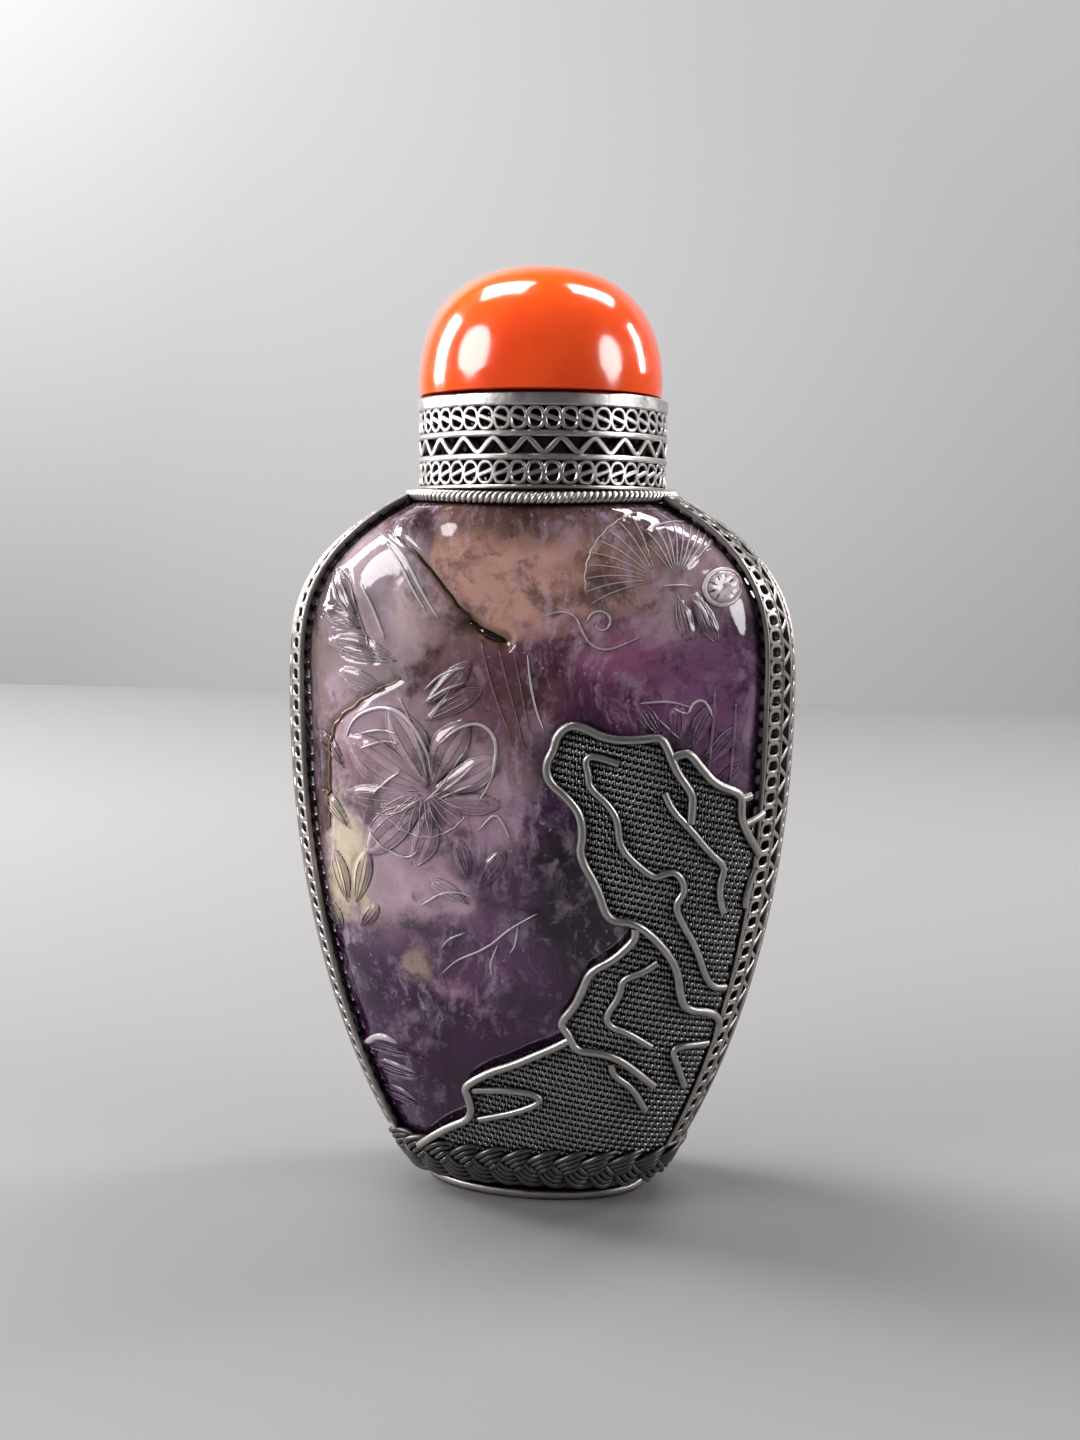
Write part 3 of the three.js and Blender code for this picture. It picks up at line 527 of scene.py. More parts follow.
def strokeReach(x, z, points):
    # distance from every place to a line of points
    nearest = np.full(x.shape, 1e9)
    for (ax, az), (bx, bz) in zip(points[:-1], points[1:]):
        dx, dz = bx - ax, bz - az
        share = np.clip(((x - ax) * dx + (z - az) * dz) / (dx * dx + dz * dz), 0, 1)
        nearest = np.minimum(nearest, np.hypot(x - ax - share * dx, z - az - share * dz))
    return nearest


def leafSize(k, halfWidth, along):
    # half-width and sideways bow of a leaf, from its root (0) to its tip (1)
    along = np.clip(along, 0, 1)
    width = halfWidth * np.clip(np.sin(along ** 1.25 * pi), 0, 1) ** 0.75
    return width, 0.35 * halfWidth * sin(3.1 * k + 1) * np.sin(along * pi)


def carve(x, z):
    height, frostAndHighlight, rust = np.zeros(x.shape), np.zeros(x.shape), np.zeros(x.shape)
    for k in range(5):
        wave = 0.35 + 0.2 * k
        swing = np.sin(wave * x * 1.3 + 2.1 * k + np.sin(z * wave + k))
        height += carving["waviness"] / (1 + 0.4 * k) * swing
    for k, ((rootX, rootZ), (tipX, tipZ), halfWidth) in enumerate(carving["leaves"]):
        dx, dz = tipX - rootX, tipZ - rootZ
        length = hypot(dx, dz)
        along = ((x - rootX) * dx + (z - rootZ) * dz) / length ** 2
        width, bow = leafSize(k, halfWidth, along)
        aside = ((z - rootZ) * dx - (x - rootX) * dz) / length - bow
        edge = np.where(width > 0.05, np.abs(aside) / np.maximum(width, 0.05), 2)
        leaf = np.clip(1 - edge ** 2.2, 0, 1) ** 0.6
        hollow = np.exp(-(aside / carving["hollow"]) ** 2)
        height = np.maximum(height, height * (1 - leaf) + carving["leafRise"] * leaf * (1 - 0.5 * hollow))
        # the pale mask is frost and painted highlight on the raised leaves
        frostAndHighlight = np.maximum(frostAndHighlight, 0.12 * leaf)
        height -= carving["groove"] * np.exp(-((edge - 1.15) / 0.25) ** 2) * (width > 0.1)
    for rise, halfWidth, _, brown, points in carving["strokes"]:
        away = strokeReach(x, z, softened(points, 0.6, 2))
        ridge = np.clip(1 - (away / (halfWidth * 1.1)) ** 2, 0, 1) ** 1.2
        height += carving["strokeShare" if rise > 0 else "crackShare"] * rise * ridge
        rust = np.maximum(rust, 0.45 * brown * np.clip(1 - away / (halfWidth * 1.7), 0, 1))
    for (cx, cz), (first, last), radius, ribs, rise in carving["fans"]:
        away = np.hypot(x - cx, z - cz)
        turn = np.degrees(np.arctan2(z - cz, x - cx)) % 360
        share = (turn - first) / (last - first)
        rib = np.abs(np.sin(share * ribs * pi))
        rosette = last - first == 360
        leaf = np.where((share > 0) & (share < 1), smooth(0, 0.35, radius - away) * smooth(0, 0.3, away), 0)
        leaf *= 1 if rosette else smooth(0, 0.03, share) * smooth(0, 0.03, 1 - share)
        height += leaf * rise * (0.5 + 0.5 * rib ** 0.7) * (0.45 + 0.55 * away / radius)
        frostAndHighlight = np.maximum(frostAndHighlight, leaf * (0.7 if rosette else 0.1))
    return height, frostAndHighlight, rust


def fanLines(centre, span, radius, ribs):
    # (points, half-width, frost and painted highlight, rust) of a fan's ribs and rim; a round one has its
    # spokes painted dark, as painted shade in grooves
    def around(turn, reach):
        return np.column_stack([centre[0] + reach * np.cos(turn), centre[1] + reach * np.sin(turn)])

    first, last = span
    rosette = last - first == 360
    # the wheel's spokes get full rust, which paints them near-black as painted shade in grooves
    fan, wheel = (0.15, 0.97, 0.12, 1, 0.6, 0.0), (0.3, 0.8, 0, 1.5, 0.0, 1.0)
    start, end, bent, width, pale, brown = wheel if rosette else fan
    lines = []
    for turn in np.radians(np.linspace(first, last, ribs + 1)[:ribs if rosette else None]):
        share = np.linspace(0, 1, 4)
        points = around(turn + bent * share ** 2, radius * (start + (end - start) * share))
        lines.append((points, carving["ribWidth"] * width, pale, brown))
    scallop = radius * (0.97 + 0.03 * np.abs(np.sin(np.linspace(0, ribs * pi, 40))))
    points = around(np.radians(np.linspace(first, last, 40)), scallop)
    lines.append((points, 0.28 if rosette else carving["lineWidth"], 0.9, 0.0))
    return lines


def leafLines(k, leaf):
    (rootX, rootZ), (tipX, tipZ), halfWidth = leaf
    dx, dz = tipX - rootX, tipZ - rootZ
    length = hypot(dx, dz)
    lines = []
    # place across the leaf, start and end along it
    strips = ((1, 0.02, 0.98), (-1, 0.02, 0.98), (0.5, 0.12, 0.8), (-0.5, 0.12, 0.8), (0, 0, 0.9))
    for across, start, end in strips:
        along = np.linspace(start, end, 9)
        width, bow = leafSize(k, halfWidth, along)
        aside = (bow + across * width) / length
        points = np.column_stack([rootX + along * dx - aside * dz, rootZ + along * dz + aside * dx])
        thick, pale = ("lineWidth", 0.5) if abs(across) == 1 else ("veinWidth", 0.3)
        lines.append((points, carving[thick], pale * (0.7 + 0.3 * sin(2.3 * k + across)), 0.0))
    return lines


def frontLines():
    lines = []
    for rise, halfWidth, pale, brown, points in carving["strokes"]:
        crack = rise < 0 and brown > 0.5
        points = np.array(points, float)
        if crack and len(points) > 5:
            points = softened(points, 0.7, 1)
            step = np.arange(len(points))
            wander = np.column_stack([np.sin(2.7 * step), np.cos(4.1 * step)])
            points[1:-1] += carving["roughness"] * wander[1:-1]
        thinned = halfWidth * (0.5 if crack else carving["strokeThinning"])
        lines.append((points, thinned, pale, brown if crack else 0.5 * brown))
    for k, leaf in enumerate(carving["leaves"]):
        lines += leafLines(k, leaf)
    for centre, span, radius, ribs, _ in carving["fans"]:
        lines += fanLines(centre, span, radius, ribs)
    (cx, cz), radius = carving["scroll"]
    share = np.linspace(0, 1, 24)
    turn, reach = share * 2 * pi - pi, radius * (0.35 + 0.65 * share)
    lines.append((np.column_stack([cx + reach * np.cos(turn), cz + reach * np.sin(turn)]), 0.13, 0.6, 0.0))
    return lines


def lineOnStone(points, halfWidth, backwards=False):
    # places, outward directions and tapering sizes of a raised line on the carved surface
    places = softened(points, 0.33, 1 if len(points) > 8 else 2)
    turn, level = frontTurn(places[:, 0], places[:, 1]), places[:, 1]
    lift = carve(places[:, 0], level)[0] + carving["lineSeat"]
    if backwards:
        turn, level = pi + turn, np.maximum(level - carving["backDrop"], 4)
        lift = lift * carving["backShare"]
    share = np.linspace(0, 1, len(places))
    taper = halfWidth * (0.3 + 0.7 * np.sin(share * pi) ** 0.5)
    return offStone(turn, level, lift), stoneNormal(turn, level), False, taper


def spread(reach, values, spacing):
    # values at marks along a line, as far apart as the spacing given at each of its places
    weight = 1 / spacing
    total = np.concatenate([[0], np.cumsum(np.diff(reach) * (weight[1:] + weight[:-1]) / 2)])
    return np.interp(np.linspace(0, total[-1], int(total[-1]) + 1), total, values)


# Spacing of the stone's points round it and up it, finer where it is carved, and its hidden rows
stoneGrid = {
    "carvedTurn": 1.45, "front": (0.215, 0.32), "back": 0.9, "carvedLevels": (27, 58), "levels": (0.2, 0.38),
    "neck": (62.5, 64.5, 66.5, 68.2),
    "lip": (((9.1, 8.3), 68.45), ((8.8, 8.0), 68.5), ((4.3, 4.3), 68.5), ((4.0, 4.0), 68.2)),
    "cavity": (1.0, 0.985, 0.95, 0.88, 0.78, 0.62, 0.45, 0.3, 0.18, 0.1, 0.04, 0.01),
}


def makeStone():
    base, shoulder, places = stone["base"], stone["shoulder"], stoneGrid
    fine = np.linspace(0, 2 * pi, 4001)
    ring = stonePoint(fine, stone["widest"])[:, :2]
    sideways = np.where(fine > places["carvedTurn"], *places["front"])
    sideways = np.where(fine < pi, sideways, places["back"])
    turns = spread(reachAlong(ring), fine, sideways)[:-1]
    levels = np.linspace(base, shoulder, 3001)
    profile = np.stack([stoneSection(levels)[0], levels], axis=1)
    low, high = places["carvedLevels"]
    upward = np.where((levels > low) & (levels < high), *places["levels"])
    heights = spread(reachAlong(profile), levels, upward)
    turnGrid, heightGrid = np.meshgrid(turns, heights)
    outer = stonePoint(turnGrid, heightGrid)
    x, y, z = outer[..., 0], outer[..., 1], outer[..., 2]
    height, frostAndHighlight, rust = carve(x, z)
    backHeight, backFrostAndHighlight, backRust = carve(-x, z + carving["backDrop"])
    edges = smooth(1.5, 4, z) * smooth(0, 2.5, shoulder - 0.8 - z)
    front, back = smooth(0.5, 2.5, -y) * edges, smooth(0.5, 2.5, y) * carving["backShare"] * edges
    outer = outer + stoneNormal(turnGrid, heightGrid) * (height * front + backHeight * back)[..., None]
    neck = [stonePoint(turns, level) for level in places["neck"]]
    neck += [ovalRow(turns, wide, -deep, level) for (wide, deep), level in places["lip"]]
    inner = []
    floor, roof = stone["cavityFloor"], stone["cavityRoof"]
    for share in places["cavity"]:
        level = floor + (roof - floor) * share
        rounding = float(arch(abs(2 * share - 1), 6, 0.5))
        opening = stone["mouthRadius"] if share > 0.5 else 0.05
        section = stoneSection(level)
        halves = [opening + (float(section[k]) - stone["wall"] - opening) * rounding for k in (0, 1)]
        squareness = 2 + (float(section[2]) - 2) * rounding
        inner.append(ovalRow(turns, halves[0], -halves[1], level, squareness))
    rows = np.concatenate([outer, np.array(neck), np.array(inner)])
    points, faces = closedEnds(rows, (0, 0, base), (0, 0, floor))
    faces = [tuple(reversed(face)) for face in faces]
    lines, tints = [], []
    for line, halfWidth, pale, brown in frontLines():
        lines.append(lineOnStone(line, halfWidth))
        tints.append((pale, brown))
    for k, leaf in enumerate(carving["leaves"][:carving["backLeaves"]]):
        for line, halfWidth, pale, brown in leafLines(k, leaf)[:2]:
            lines.append(lineOnStone(line, halfWidth, True))
            tints.append((pale * 0.5, brown))
    ownPoints = len(points)
    points, faces = joined(points, faces, lines, carving["ridge"])
    piece = makePiece("amethyst_bottle_carved", points, faces, amethystMaterial(),
                      ["amethyst_bottle"])
    corners = len(carving["ridge"])
    tintings = ((0, "frostAndHighlight", frostAndHighlight, backFrostAndHighlight), (1, "rust", rust, backRust / 2))
    for pick, name, onFrontSide, onBackSide in tintings:
        values = np.zeros(ownPoints, np.float32)
        values[:frostAndHighlight.size] = (onFrontSide * front + onBackSide * back).reshape(-1)
        tinted = [np.full(len(line[0]) * corners, tint[pick], np.float32) for line, tint in zip(lines, tints)]
        attribute = piece.data.attributes.new(name, "FLOAT", "POINT")
        attribute.data.foreach_set("value", np.concatenate([values] + tinted))
    print("stone triangles", sum(len(face) - 2 for face in faces))
    return piece


makeStone()


# Coral: an orange dome with redder clouds, and paler towards its top as painted light
coralCap = {
    "radius": 10.3, "height": 10.65, "underside": 69.15, "shift": -0.2, "roundness": 2.5,
    "plugRadius": 3.75, "plugBottom": 66.55, "paintedLightLevels": (74.5, 78.5),
    "orange": (1.0, 0.090, 0.010), "bright": (1.0, 0.110, 0.0), "red": (0.80, 0.050, 0.012),
}


def coralMaterial():
    material, tree, shader, place = startMaterial(
        "coral", IOR=1.52, Subsurface_Weight=0.25, Subsurface_Scale=2 * mm,
        Subsurface_Radius=(1.0, 0.35, 0.2), Coat_Weight=0.6, Coat_Roughness=0.12)
    cloudy = noise(tree, place, 130, 3.0, 0.55)
    colour = mixColour(tree, ranged(tree, cloudy, 0.42, 0.7, 0.0, 0.6), coralCap["orange"], coralCap["red"])
    height = addNode(tree, "SeparateXYZ", {0: place}).outputs["Z"]
    # painted light: the dome's top is made brighter, as if lit from above
    paintedTopLight = ranged(tree, height, *(level * mm for level in coralCap["paintedLightLevels"]), 0.0, 0.85)
    colour = mixColour(tree, paintedTopLight, colour, coralCap["bright"])
    rough = ranged(tree, noise(tree, place, 900), 0.3, 0.7, 0.11, 0.18)
    feed(tree, shader, Base_Color=colour, Roughness=rough)
    addBump(tree, shader, cloudy, 0.05, 0.3)
    return material


def makeCap():
    turns = np.linspace(0, 2 * pi, 97)[:-1]
    under, tall, power = coralCap["underside"], coralCap["height"], 2 / coralCap["roundness"]
    radius, plug, plugBottom = coralCap["radius"], coralCap["plugRadius"], coralCap["plugBottom"]
    outline = [(plug - 0.25, plugBottom), (plug, plugBottom + 0.25), (plug, under - 0.02),
               (plug + 0.1, under), (radius - 0.4, under), (radius - 0.1, under + 0.08)]
    for lift in np.arange(3, 60) / 60 * pi / 2:
        outline.append((radius * cos(lift) ** power, under + tall * sin(lift) ** power))
    rows = []
    for reach, level in outline:
        shift = coralCap["shift"] if level > under - 0.01 else 0
        rows.append(ovalRow(turns, reach, reach, level, shift=shift))
    points, faces = closedEnds(rows, (0, 0, plugBottom), (coralCap["shift"], 0, under + tall))
    return makePiece("coral_cap_polished", points, faces, coralMaterial(), ["coral_cap"], 50)


makeCap()


# Filigree: flattened coils and zigzags of flat wire, soldered between straight wires
filigree = {
    "wire": 0.3, "rounding": 0.08, "zigzagWire": 0.4, "sink": 0.08, "zigzagSteps": 16, "ringSteps": 14,
    # half-width and half-height of a ring, as shares of pitch and row, and how square it is (1 is round)
    "ring": (0.47, 0.44, 0.85), "eyelet": (0.45, 0.43, 0.72), "zigzagPoint": 0.8,
    "barReach": 0.42, "barSlope": 0.26, "barWidth": 0.36,
}


def flatWires(parts, width, depth, points=None, faces=None):
    # flat wires along the paths, added to the mesh so far
    section = flatWireSection(width, depth, min(filigree["rounding"], width * 0.3))
    return sweep(parts, section) if points is None else joined(points, faces, parts, section)


def ringRow(place, count, pitch, middle, height, start=0, lean=0):
    # a row of touching rings; where lean isn't 0, each has a sloping bar across it
    halfAlong, halfAcross, roundness = filigree["ring" if lean else "eyelet"]
    turn = np.arange(filigree["ringSteps"]) / filigree["ringSteps"] * 2 * pi
    reach = np.linspace(-1, 1, 4) * filigree["barReach"]
    loops, bars = [], []
    for centre in start + pitch * np.arange(count):
        x = centre + pitch * halfAlong * signedPower(np.cos(turn), roundness)
        y = middle + height * halfAcross * signedPower(np.sin(turn), roundness)
        loops.append((*place(x, y, filigree["sink"]), True))
        if lean:
            rise = height * filigree["barSlope"] * lean * reach
            bars.append((*place(centre + pitch * reach, middle + rise, filigree["sink"]), False))
    return loops, bars


def zigzagPath(count, halfHeight, pitch):
    turn = np.arange(count * filigree["zigzagSteps"]) / filigree["zigzagSteps"] * 2 * pi
    point = filigree["zigzagPoint"]
    return pitch * turn / (2 * pi), halfHeight * np.arcsin(point * np.sin(turn)) / asin(point)


# Collar round the neck
collar = {
    "inner": 0.15, "outer": 1.25, "top": 69.0, "turns": 46, "rimRounding": 0.14,
    "rows": [("rim", 1.08), ("coil", 1.88), ("wire", 0.48), ("zigzag", 1.35), ("wire", 0.48), ("coil", 1.93),
             ("wire", 0.35)],
}


def evenTurns(halfWidth, halfDepth):
    # turns round an oval, and the distance covered at each
    turn = np.linspace(0, 2 * pi, 2001)
    ring = np.stack([halfWidth * np.cos(turn), halfDepth * np.sin(turn)], axis=1)
    return turn, reachAlong(ring)


def makeCollar():
    halfWidth, halfDepth = (half + collar["outer"] for half in stone["neckHalf"])
    turnTable, reachTable = evenTurns(halfWidth, halfDepth)
    length = reachTable[-1]

    def place(along, level, sink=0.0):
        turn = np.interp(along % length, reachTable, turnTable)
        normal = unit(ovalRow(turn, 1 / halfWidth, 1 / halfDepth, 0))
        return ovalRow(turn, halfWidth, halfDepth, level) - normal * sink, normal

    depth = collar["outer"] - collar["inner"]
    pitch = length / collar["turns"]
    parts, bars, waves, rails = [], [], [], []
    top = collar["top"]
    for kind, height in collar["rows"]:
        middle = top - height / 2
        if kind == "coil":
            rings, crossing = ringRow(place, collar["turns"], pitch, middle, height, lean=1 if parts else -1)
            parts += rings
            bars += crossing
        elif kind == "zigzag":
            along, rise = zigzagPath(collar["turns"] // 2, height / 2 - 0.1, 2 * pitch)
            waves.append((*place(along, middle + rise, filigree["sink"]), True))
        else:
            rails.append((middle, height))
        top -= height
    points, faces = flatWires(parts, filigree["wire"], depth * 0.5)
    points, faces = flatWires(bars, filigree["barWidth"], depth * 0.4, points, faces)
    points, faces = flatWires(waves, filigree["zigzagWire"], depth * 0.6, points, faces)
    steady = np.linspace(0, length, 181)[:-1]
    for middle, width in rails:
        section = flatWireSection(width, depth, min(collar["rimRounding"], width * 0.3))
        points, faces = joined(points, faces, [(*place(steady, middle), True)], section)
    return makePiece("neck_collar_filigree", points, faces, collarSilver, ["neck_collar"], 40)


makeCollar()


# Twisted wire round the foot of the collar
rope = {"halfWidth": 11.2, "halfDepth": 10.4, "side": 61.15, "front": 60.75, "radius": 0.5, "strand": 0.27,
        "twists": 65, "steps": 12}


def makeRope():
    steps = rope["twists"] * rope["steps"]
    turnTable, reachTable = evenTurns(rope["halfWidth"], rope["halfDepth"])
    turn = np.interp(np.arange(steps) / steps * reachTable[-1], reachTable, turnTable)
    front = np.sin(turn) ** 2
    level = rope["side"] * (1 - front) + rope["front"] * front
    centre = ovalRow(turn, rope["halfWidth"], rope["halfDepth"], level)
    normal = ovalRow(turn, 1, 1, 0)
    twist = np.arange(steps) / rope["steps"] * 2 * pi
    reach = rope["radius"] - rope["strand"]
    paths = []
    for phase in (0, pi):
        out = reach * np.cos(twist + phase)
        path = centre + normal * out[:, None]
        path[:, 2] += reach * np.sin(twist + phase)
        paths.append((path, normal, True))
    points, faces = sweep(paths, roundSection(rope["strand"], 8))
    return makePiece("shoulder_rope_twisted", points, faces, silver, ["shoulder_rope"])


makeRope()


# Ribbons round the narrow sides
band = {
    "foot": 5.8, "top": 60.3, "inner": 0.15, "outer": 0.95, "halfTurn": 30, "shoulderTurn": 26, "coils": 46,
    "rows": ["coil", "zigzag", "coil", "zigzag", "coil", "zigzag", "coil"], "margin": 0.022,
    "loopWire": 0.38, "railWire": 0.3, "edgeDepth": 0.34, "endWire": 0.36, "endInset": 0.15,
}


def makeBand(name, middleTurn, replaced):
    levels = np.linspace(band["foot"], band["top"], 2001)
    spine = offStone(middleTurn, levels, band["outer"])
    reach = reachAlong(spine)
    length = reach[-1]

    def place(along, share, sink=0.0):
        z = np.interp(along, reach, levels)
        shoulderShare = smooth(stone["widest"], stone["shoulder"], z)
        half = np.radians(band["halfTurn"] + (band["shoulderTurn"] - band["halfTurn"]) * shoulderShare)
        turn = middleTurn + share * half
        return offStone(turn, z, band["outer"] - sink), stoneNormal(turn, z)

    rows, margin = band["rows"], band["margin"]
    rowShare = (1 - 2 * margin) / len(rows)
    depth = band["outer"] - band["inner"]
    pitch = length / band["coils"]
    loops, waves = [], []
    for k, kind in enumerate(rows):
        middle = (margin + (k + 0.5) * rowShare) * 2 - 1
        if kind == "coil":
            loops += ringRow(place, band["coils"], pitch, middle, 2 * rowShare, pitch / 2)[0]
        else:
            along, rise = zigzagPath(band["coils"] // 2, rowShare, 2 * pitch)
            waves.append((*place(along, middle + rise, 0.1), False))
    points, faces = flatWires(loops, band["loopWire"], depth * 0.6)
    points, faces = flatWires(waves, filigree["zigzagWire"], depth * 0.6, points, faces)
    steady, outermost = np.linspace(0, length, 160), 1 - margin * 0.6
    rails = [(share, depth) for share in (margin + np.arange(1, len(rows)) * rowShare) * 2 - 1]
    for share, tall in [(-outermost, band["edgeDepth"]), *rails, (outermost, band["edgeDepth"])]:
        rail = (*place(steady, np.full(steady.shape, share)), False)
        points, faces = joined(points, faces, [rail], flatWireSection(band["railWire"], tall, 0.1))
    shares = np.linspace(-0.98, 0.98, 40)
    for along in (band["endInset"], length - band["endInset"]):
        end = (*place(np.full(shares.shape, along), shares), False)
        points, faces = joined(points, faces, [end], flatWireSection(band["endWire"], depth, 0.1))
    return makePiece(name, points, faces, bandSilver, [replaced], 40)


makeBand("side_band_right_filigree", 0.0, "side_band_right")
makeBand("side_band_left_filigree", pi, "side_band_left")


# Plait of three bundles of oxidised wire round the base
braid = {"low": 2.1, "high": 6.0, "waves": 9, "steps": 28, "wire": 0.27, "weave": 0.33, "inner": 0.1,
         "offsets": (-0.69, -0.23, 0.23, 0.69), "steepness": 0.75}


def makeBraid():
    count = braid["waves"] * braid["steps"]
    middle = (braid["low"] + braid["high"]) / 2
    bundle = braid["wire"] + max(braid["offsets"])
    swing = (braid["high"] - braid["low"]) / 2 - bundle
    turnTable = np.linspace(0, 2 * pi, 2001)
    ring = stonePoint(turnTable, np.full(turnTable.shape, middle))[:, :2]
    reach = reachAlong(ring)
    along = np.arange(count) / count
    for index, letter in enumerate("abc"):
        phase = 2 * pi * index / 3
        wave = along * braid["waves"] * 2 * pi + phase
        paths = []
        for offset in braid["offsets"]:
            slope = np.cos(wave) * braid["steepness"]
            shiftAlong = -offset * slope / np.sqrt(1 + slope ** 2)
            shiftUp = offset / np.sqrt(1 + slope ** 2)
            turn = np.interp((along * reach[-1] + shiftAlong) % reach[-1], reach, turnTable)
            level = middle + swing * np.sin(wave) + shiftUp
            out = braid["inner"] + braid["wire"] + braid["weave"] * (1 - np.sin(2 * wave))
            paths.append((offStone(turn, level, out), stoneNormal(turn, middle), True))
        points, faces = sweep(paths, roundSection(braid["wire"], 8))
        makePiece("base_braid_bundle_" + letter, points, faces, braidSilver,
                  ["base_braid_strand_" + letter])


makeBraid()


# Thin oval foot plate
foot = {"halfWidth": 9.9, "halfDepth": 4.9, "thickness": 0.8, "rounding": 0.25}


def makeFoot():
    turns = np.linspace(0, 2 * pi, 121)[:-1]
    rows = []
    for lift in np.linspace(0, pi, 9):
        inset = foot["rounding"] * (1 - sin(lift))
        level = foot["rounding"] if lift < pi / 2 else foot["thickness"] - foot["rounding"]
        level -= foot["rounding"] * cos(lift)
        rows.append(ovalRow(turns, foot["halfWidth"] - inset, foot["halfDepth"] - inset, level))
    faces = grid(np.array(rows))
    points = np.array(rows).reshape(-1, 3)
    last = len(points) - len(turns)
    faces.append(tuple(reversed(range(len(turns)))))
    faces.append(tuple(range(last, last + len(turns))))
    return makePiece("foot_plate_rounded", points, faces, silver, ["foot_plate"], 40)


makeFoot()


# The crag's outlines on the front (x, z), each a bent wire
crag = {
    "upper_crag_wire": [(13.2, 35.3), (13.3, 36.8), (13.3, 37.7), (12.4, 39.0), (11.9, 39.9), (11.3, 41.5),
        (10.8, 42.3), (9.3, 42.0), (6.8, 42.0), (4.9, 43.0), (3.7, 43.1), (2.8, 42.1), (2.7, 41.2),
        (2.0, 39.9), (2.3, 38.5), (3.7, 37.4), (4.8, 36.0), (5.0, 34.2), (4.7, 32.6), (6.2, 30.0),
        (6.8, 27.8), (7.6, 27.2), (9.0, 27.2), (10.9, 25.6), (12.4, 23.2), (12.6, 20.6), (13.1, 19.4),
        (14.8, 19.0), (15.6, 18.1), (15.3, 16.6)],
    "right_crag_wire": [(11.7, 40.6), (12.4, 40.9), (13.0, 41.0), (14.0, 39.6), (15.0, 38.4), (16.6, 37.7),
        (17.0, 37.1), (16.9, 35.6), (17.4, 34.2), (17.9, 33.2), (18.3, 32.3)],
    "lower_crag_wire": [(9.1, 26.7), (9.2, 25.9), (8.6, 25.1), (7.4, 23.9), (5.6, 22.9), (5.1, 21.5),
        (4.4, 19.8), (3.1, 18.2), (3.9, 17.3), (4.4, 15.8), (6.3, 15.7), (7.8, 15.2), (9.3, 13.9),
        (10.6, 12.5)],
    "lower_slope_wire": [(4.0, 16.8), (2.9, 16.1), (1.2, 15.2), (-0.9, 14.1), (-2.7, 13.4), (-5.0, 11.8),
        (-4.6, 10.9), (-4.3, 8.8), (-6.3, 7.7), (-7.9, 6.4), (-9.2, 5.1)],
    "vein_wire_a": [(7.7, 40.1), (6.2, 40.6), (5.3, 40.7), (5.1, 40.1), (5.4, 39.2), (5.4, 38.2),
        (6.9, 36.9), (7.7, 35.6), (7.8, 33.6), (8.8, 32.3), (10.6, 30.8), (11.2, 31.2), (12.3, 31.4),
        (13.0, 29.8), (12.1, 28.6), (12.6, 27.2), (13.8, 24.9), (14.5, 22.2), (15.1, 21.1), (16.0, 21.0)],
    "vein_wire_b": [(11.2, 37.8), (11.8, 36.4), (13.1, 35.0), (14.8, 32.7), (15.9, 31.6), (15.5, 30.2),
        (15.5, 28.8), (15.8, 27.7)],
    "vein_wire_c": [(10.9, 23.7), (9.7, 22.8), (8.1, 22.3), (8.0, 20.8), (6.8, 19.0), (7.2, 18.0),
        (8.5, 17.6), (10.4, 16.2)],
    "vein_wire_d": [(7.3, 14.7), (7.4, 13.6), (8.9, 12.5), (9.9, 10.2)],
    "vein_wire_e": [(14.7, 16.0), (12.5, 16.1), (12.0, 15.6), (12.5, 14.0), (12.9, 12.1)],
    "spike_wire": [(-4.2, 11.5), (-1.4, 11.75), (0.8, 11.6), (1.7, 11.0), (0.6, 10.2), (-1.4, 9.4),
        (-3.8, 8.7)],
    "corner_twig": [(17.3, 35.0), (18.0, 35.3), (18.6, 35.7)],
    "band_side_wire": [(18.1, 31.0), (17.7, 30.0), (17.4, 28.6), (17.4, 27.9)],
}
cragWire = {"outline": 0.36, "vein": 0.3, "sides": 10, "flatness": 0.85, "seat": 0.72,
            "spur": [(17.0, 37.1), (17.6, 37.3)]}


def makeCragWires():
    nodes = set(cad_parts)
    for name, corners in crag.items():
        thin = name.startswith(("vein", "spike", "corner", "band_side"))
        radius = cragWire["vein"] if thin else cragWire["outline"]
        paths = []
        for line in [corners] + ([cragWire["spur"]] if name == "right_crag_wire" else []):
            paths.append((*onFront(softened(line, 0.3), np.array(cragWire["seat"] + radius * 0.7)), False))
        points, faces = sweep(paths, roundSection(radius, cragWire["sides"], cragWire["flatness"]))
        makePiece(name + "_bent", points, faces, wireSilver, [name] if name in nodes else [], 60)


makeCragWires()


# Woven wire cloth of the crag
cloth = {
    "weftPitch": 0.56, "warpPitch": 0.275, "tilt": -13.0, "middle": 0.48, "weftRadius": 0.2,
    "warpRadius": 0.1, "swing": 0.2, "warpSwing": 0.18, "weftFlatness": 0.72,
    "foot": 3.6, "corner": (-9.6, 3.6), "bandSide": 0.885,
    # where the outline wires meet: the upper one's right and left ends, and the lower one's corner
    "meetings": ((11.7, 40.6), (9.0, 27.2), (3.3, 18.0)),
    "weftRows": (-30, 110), "weftSteps": (-60, 260), "warpRows": (-30, 130), "warpSteps": (-60, 220),
    "left": -10,
}


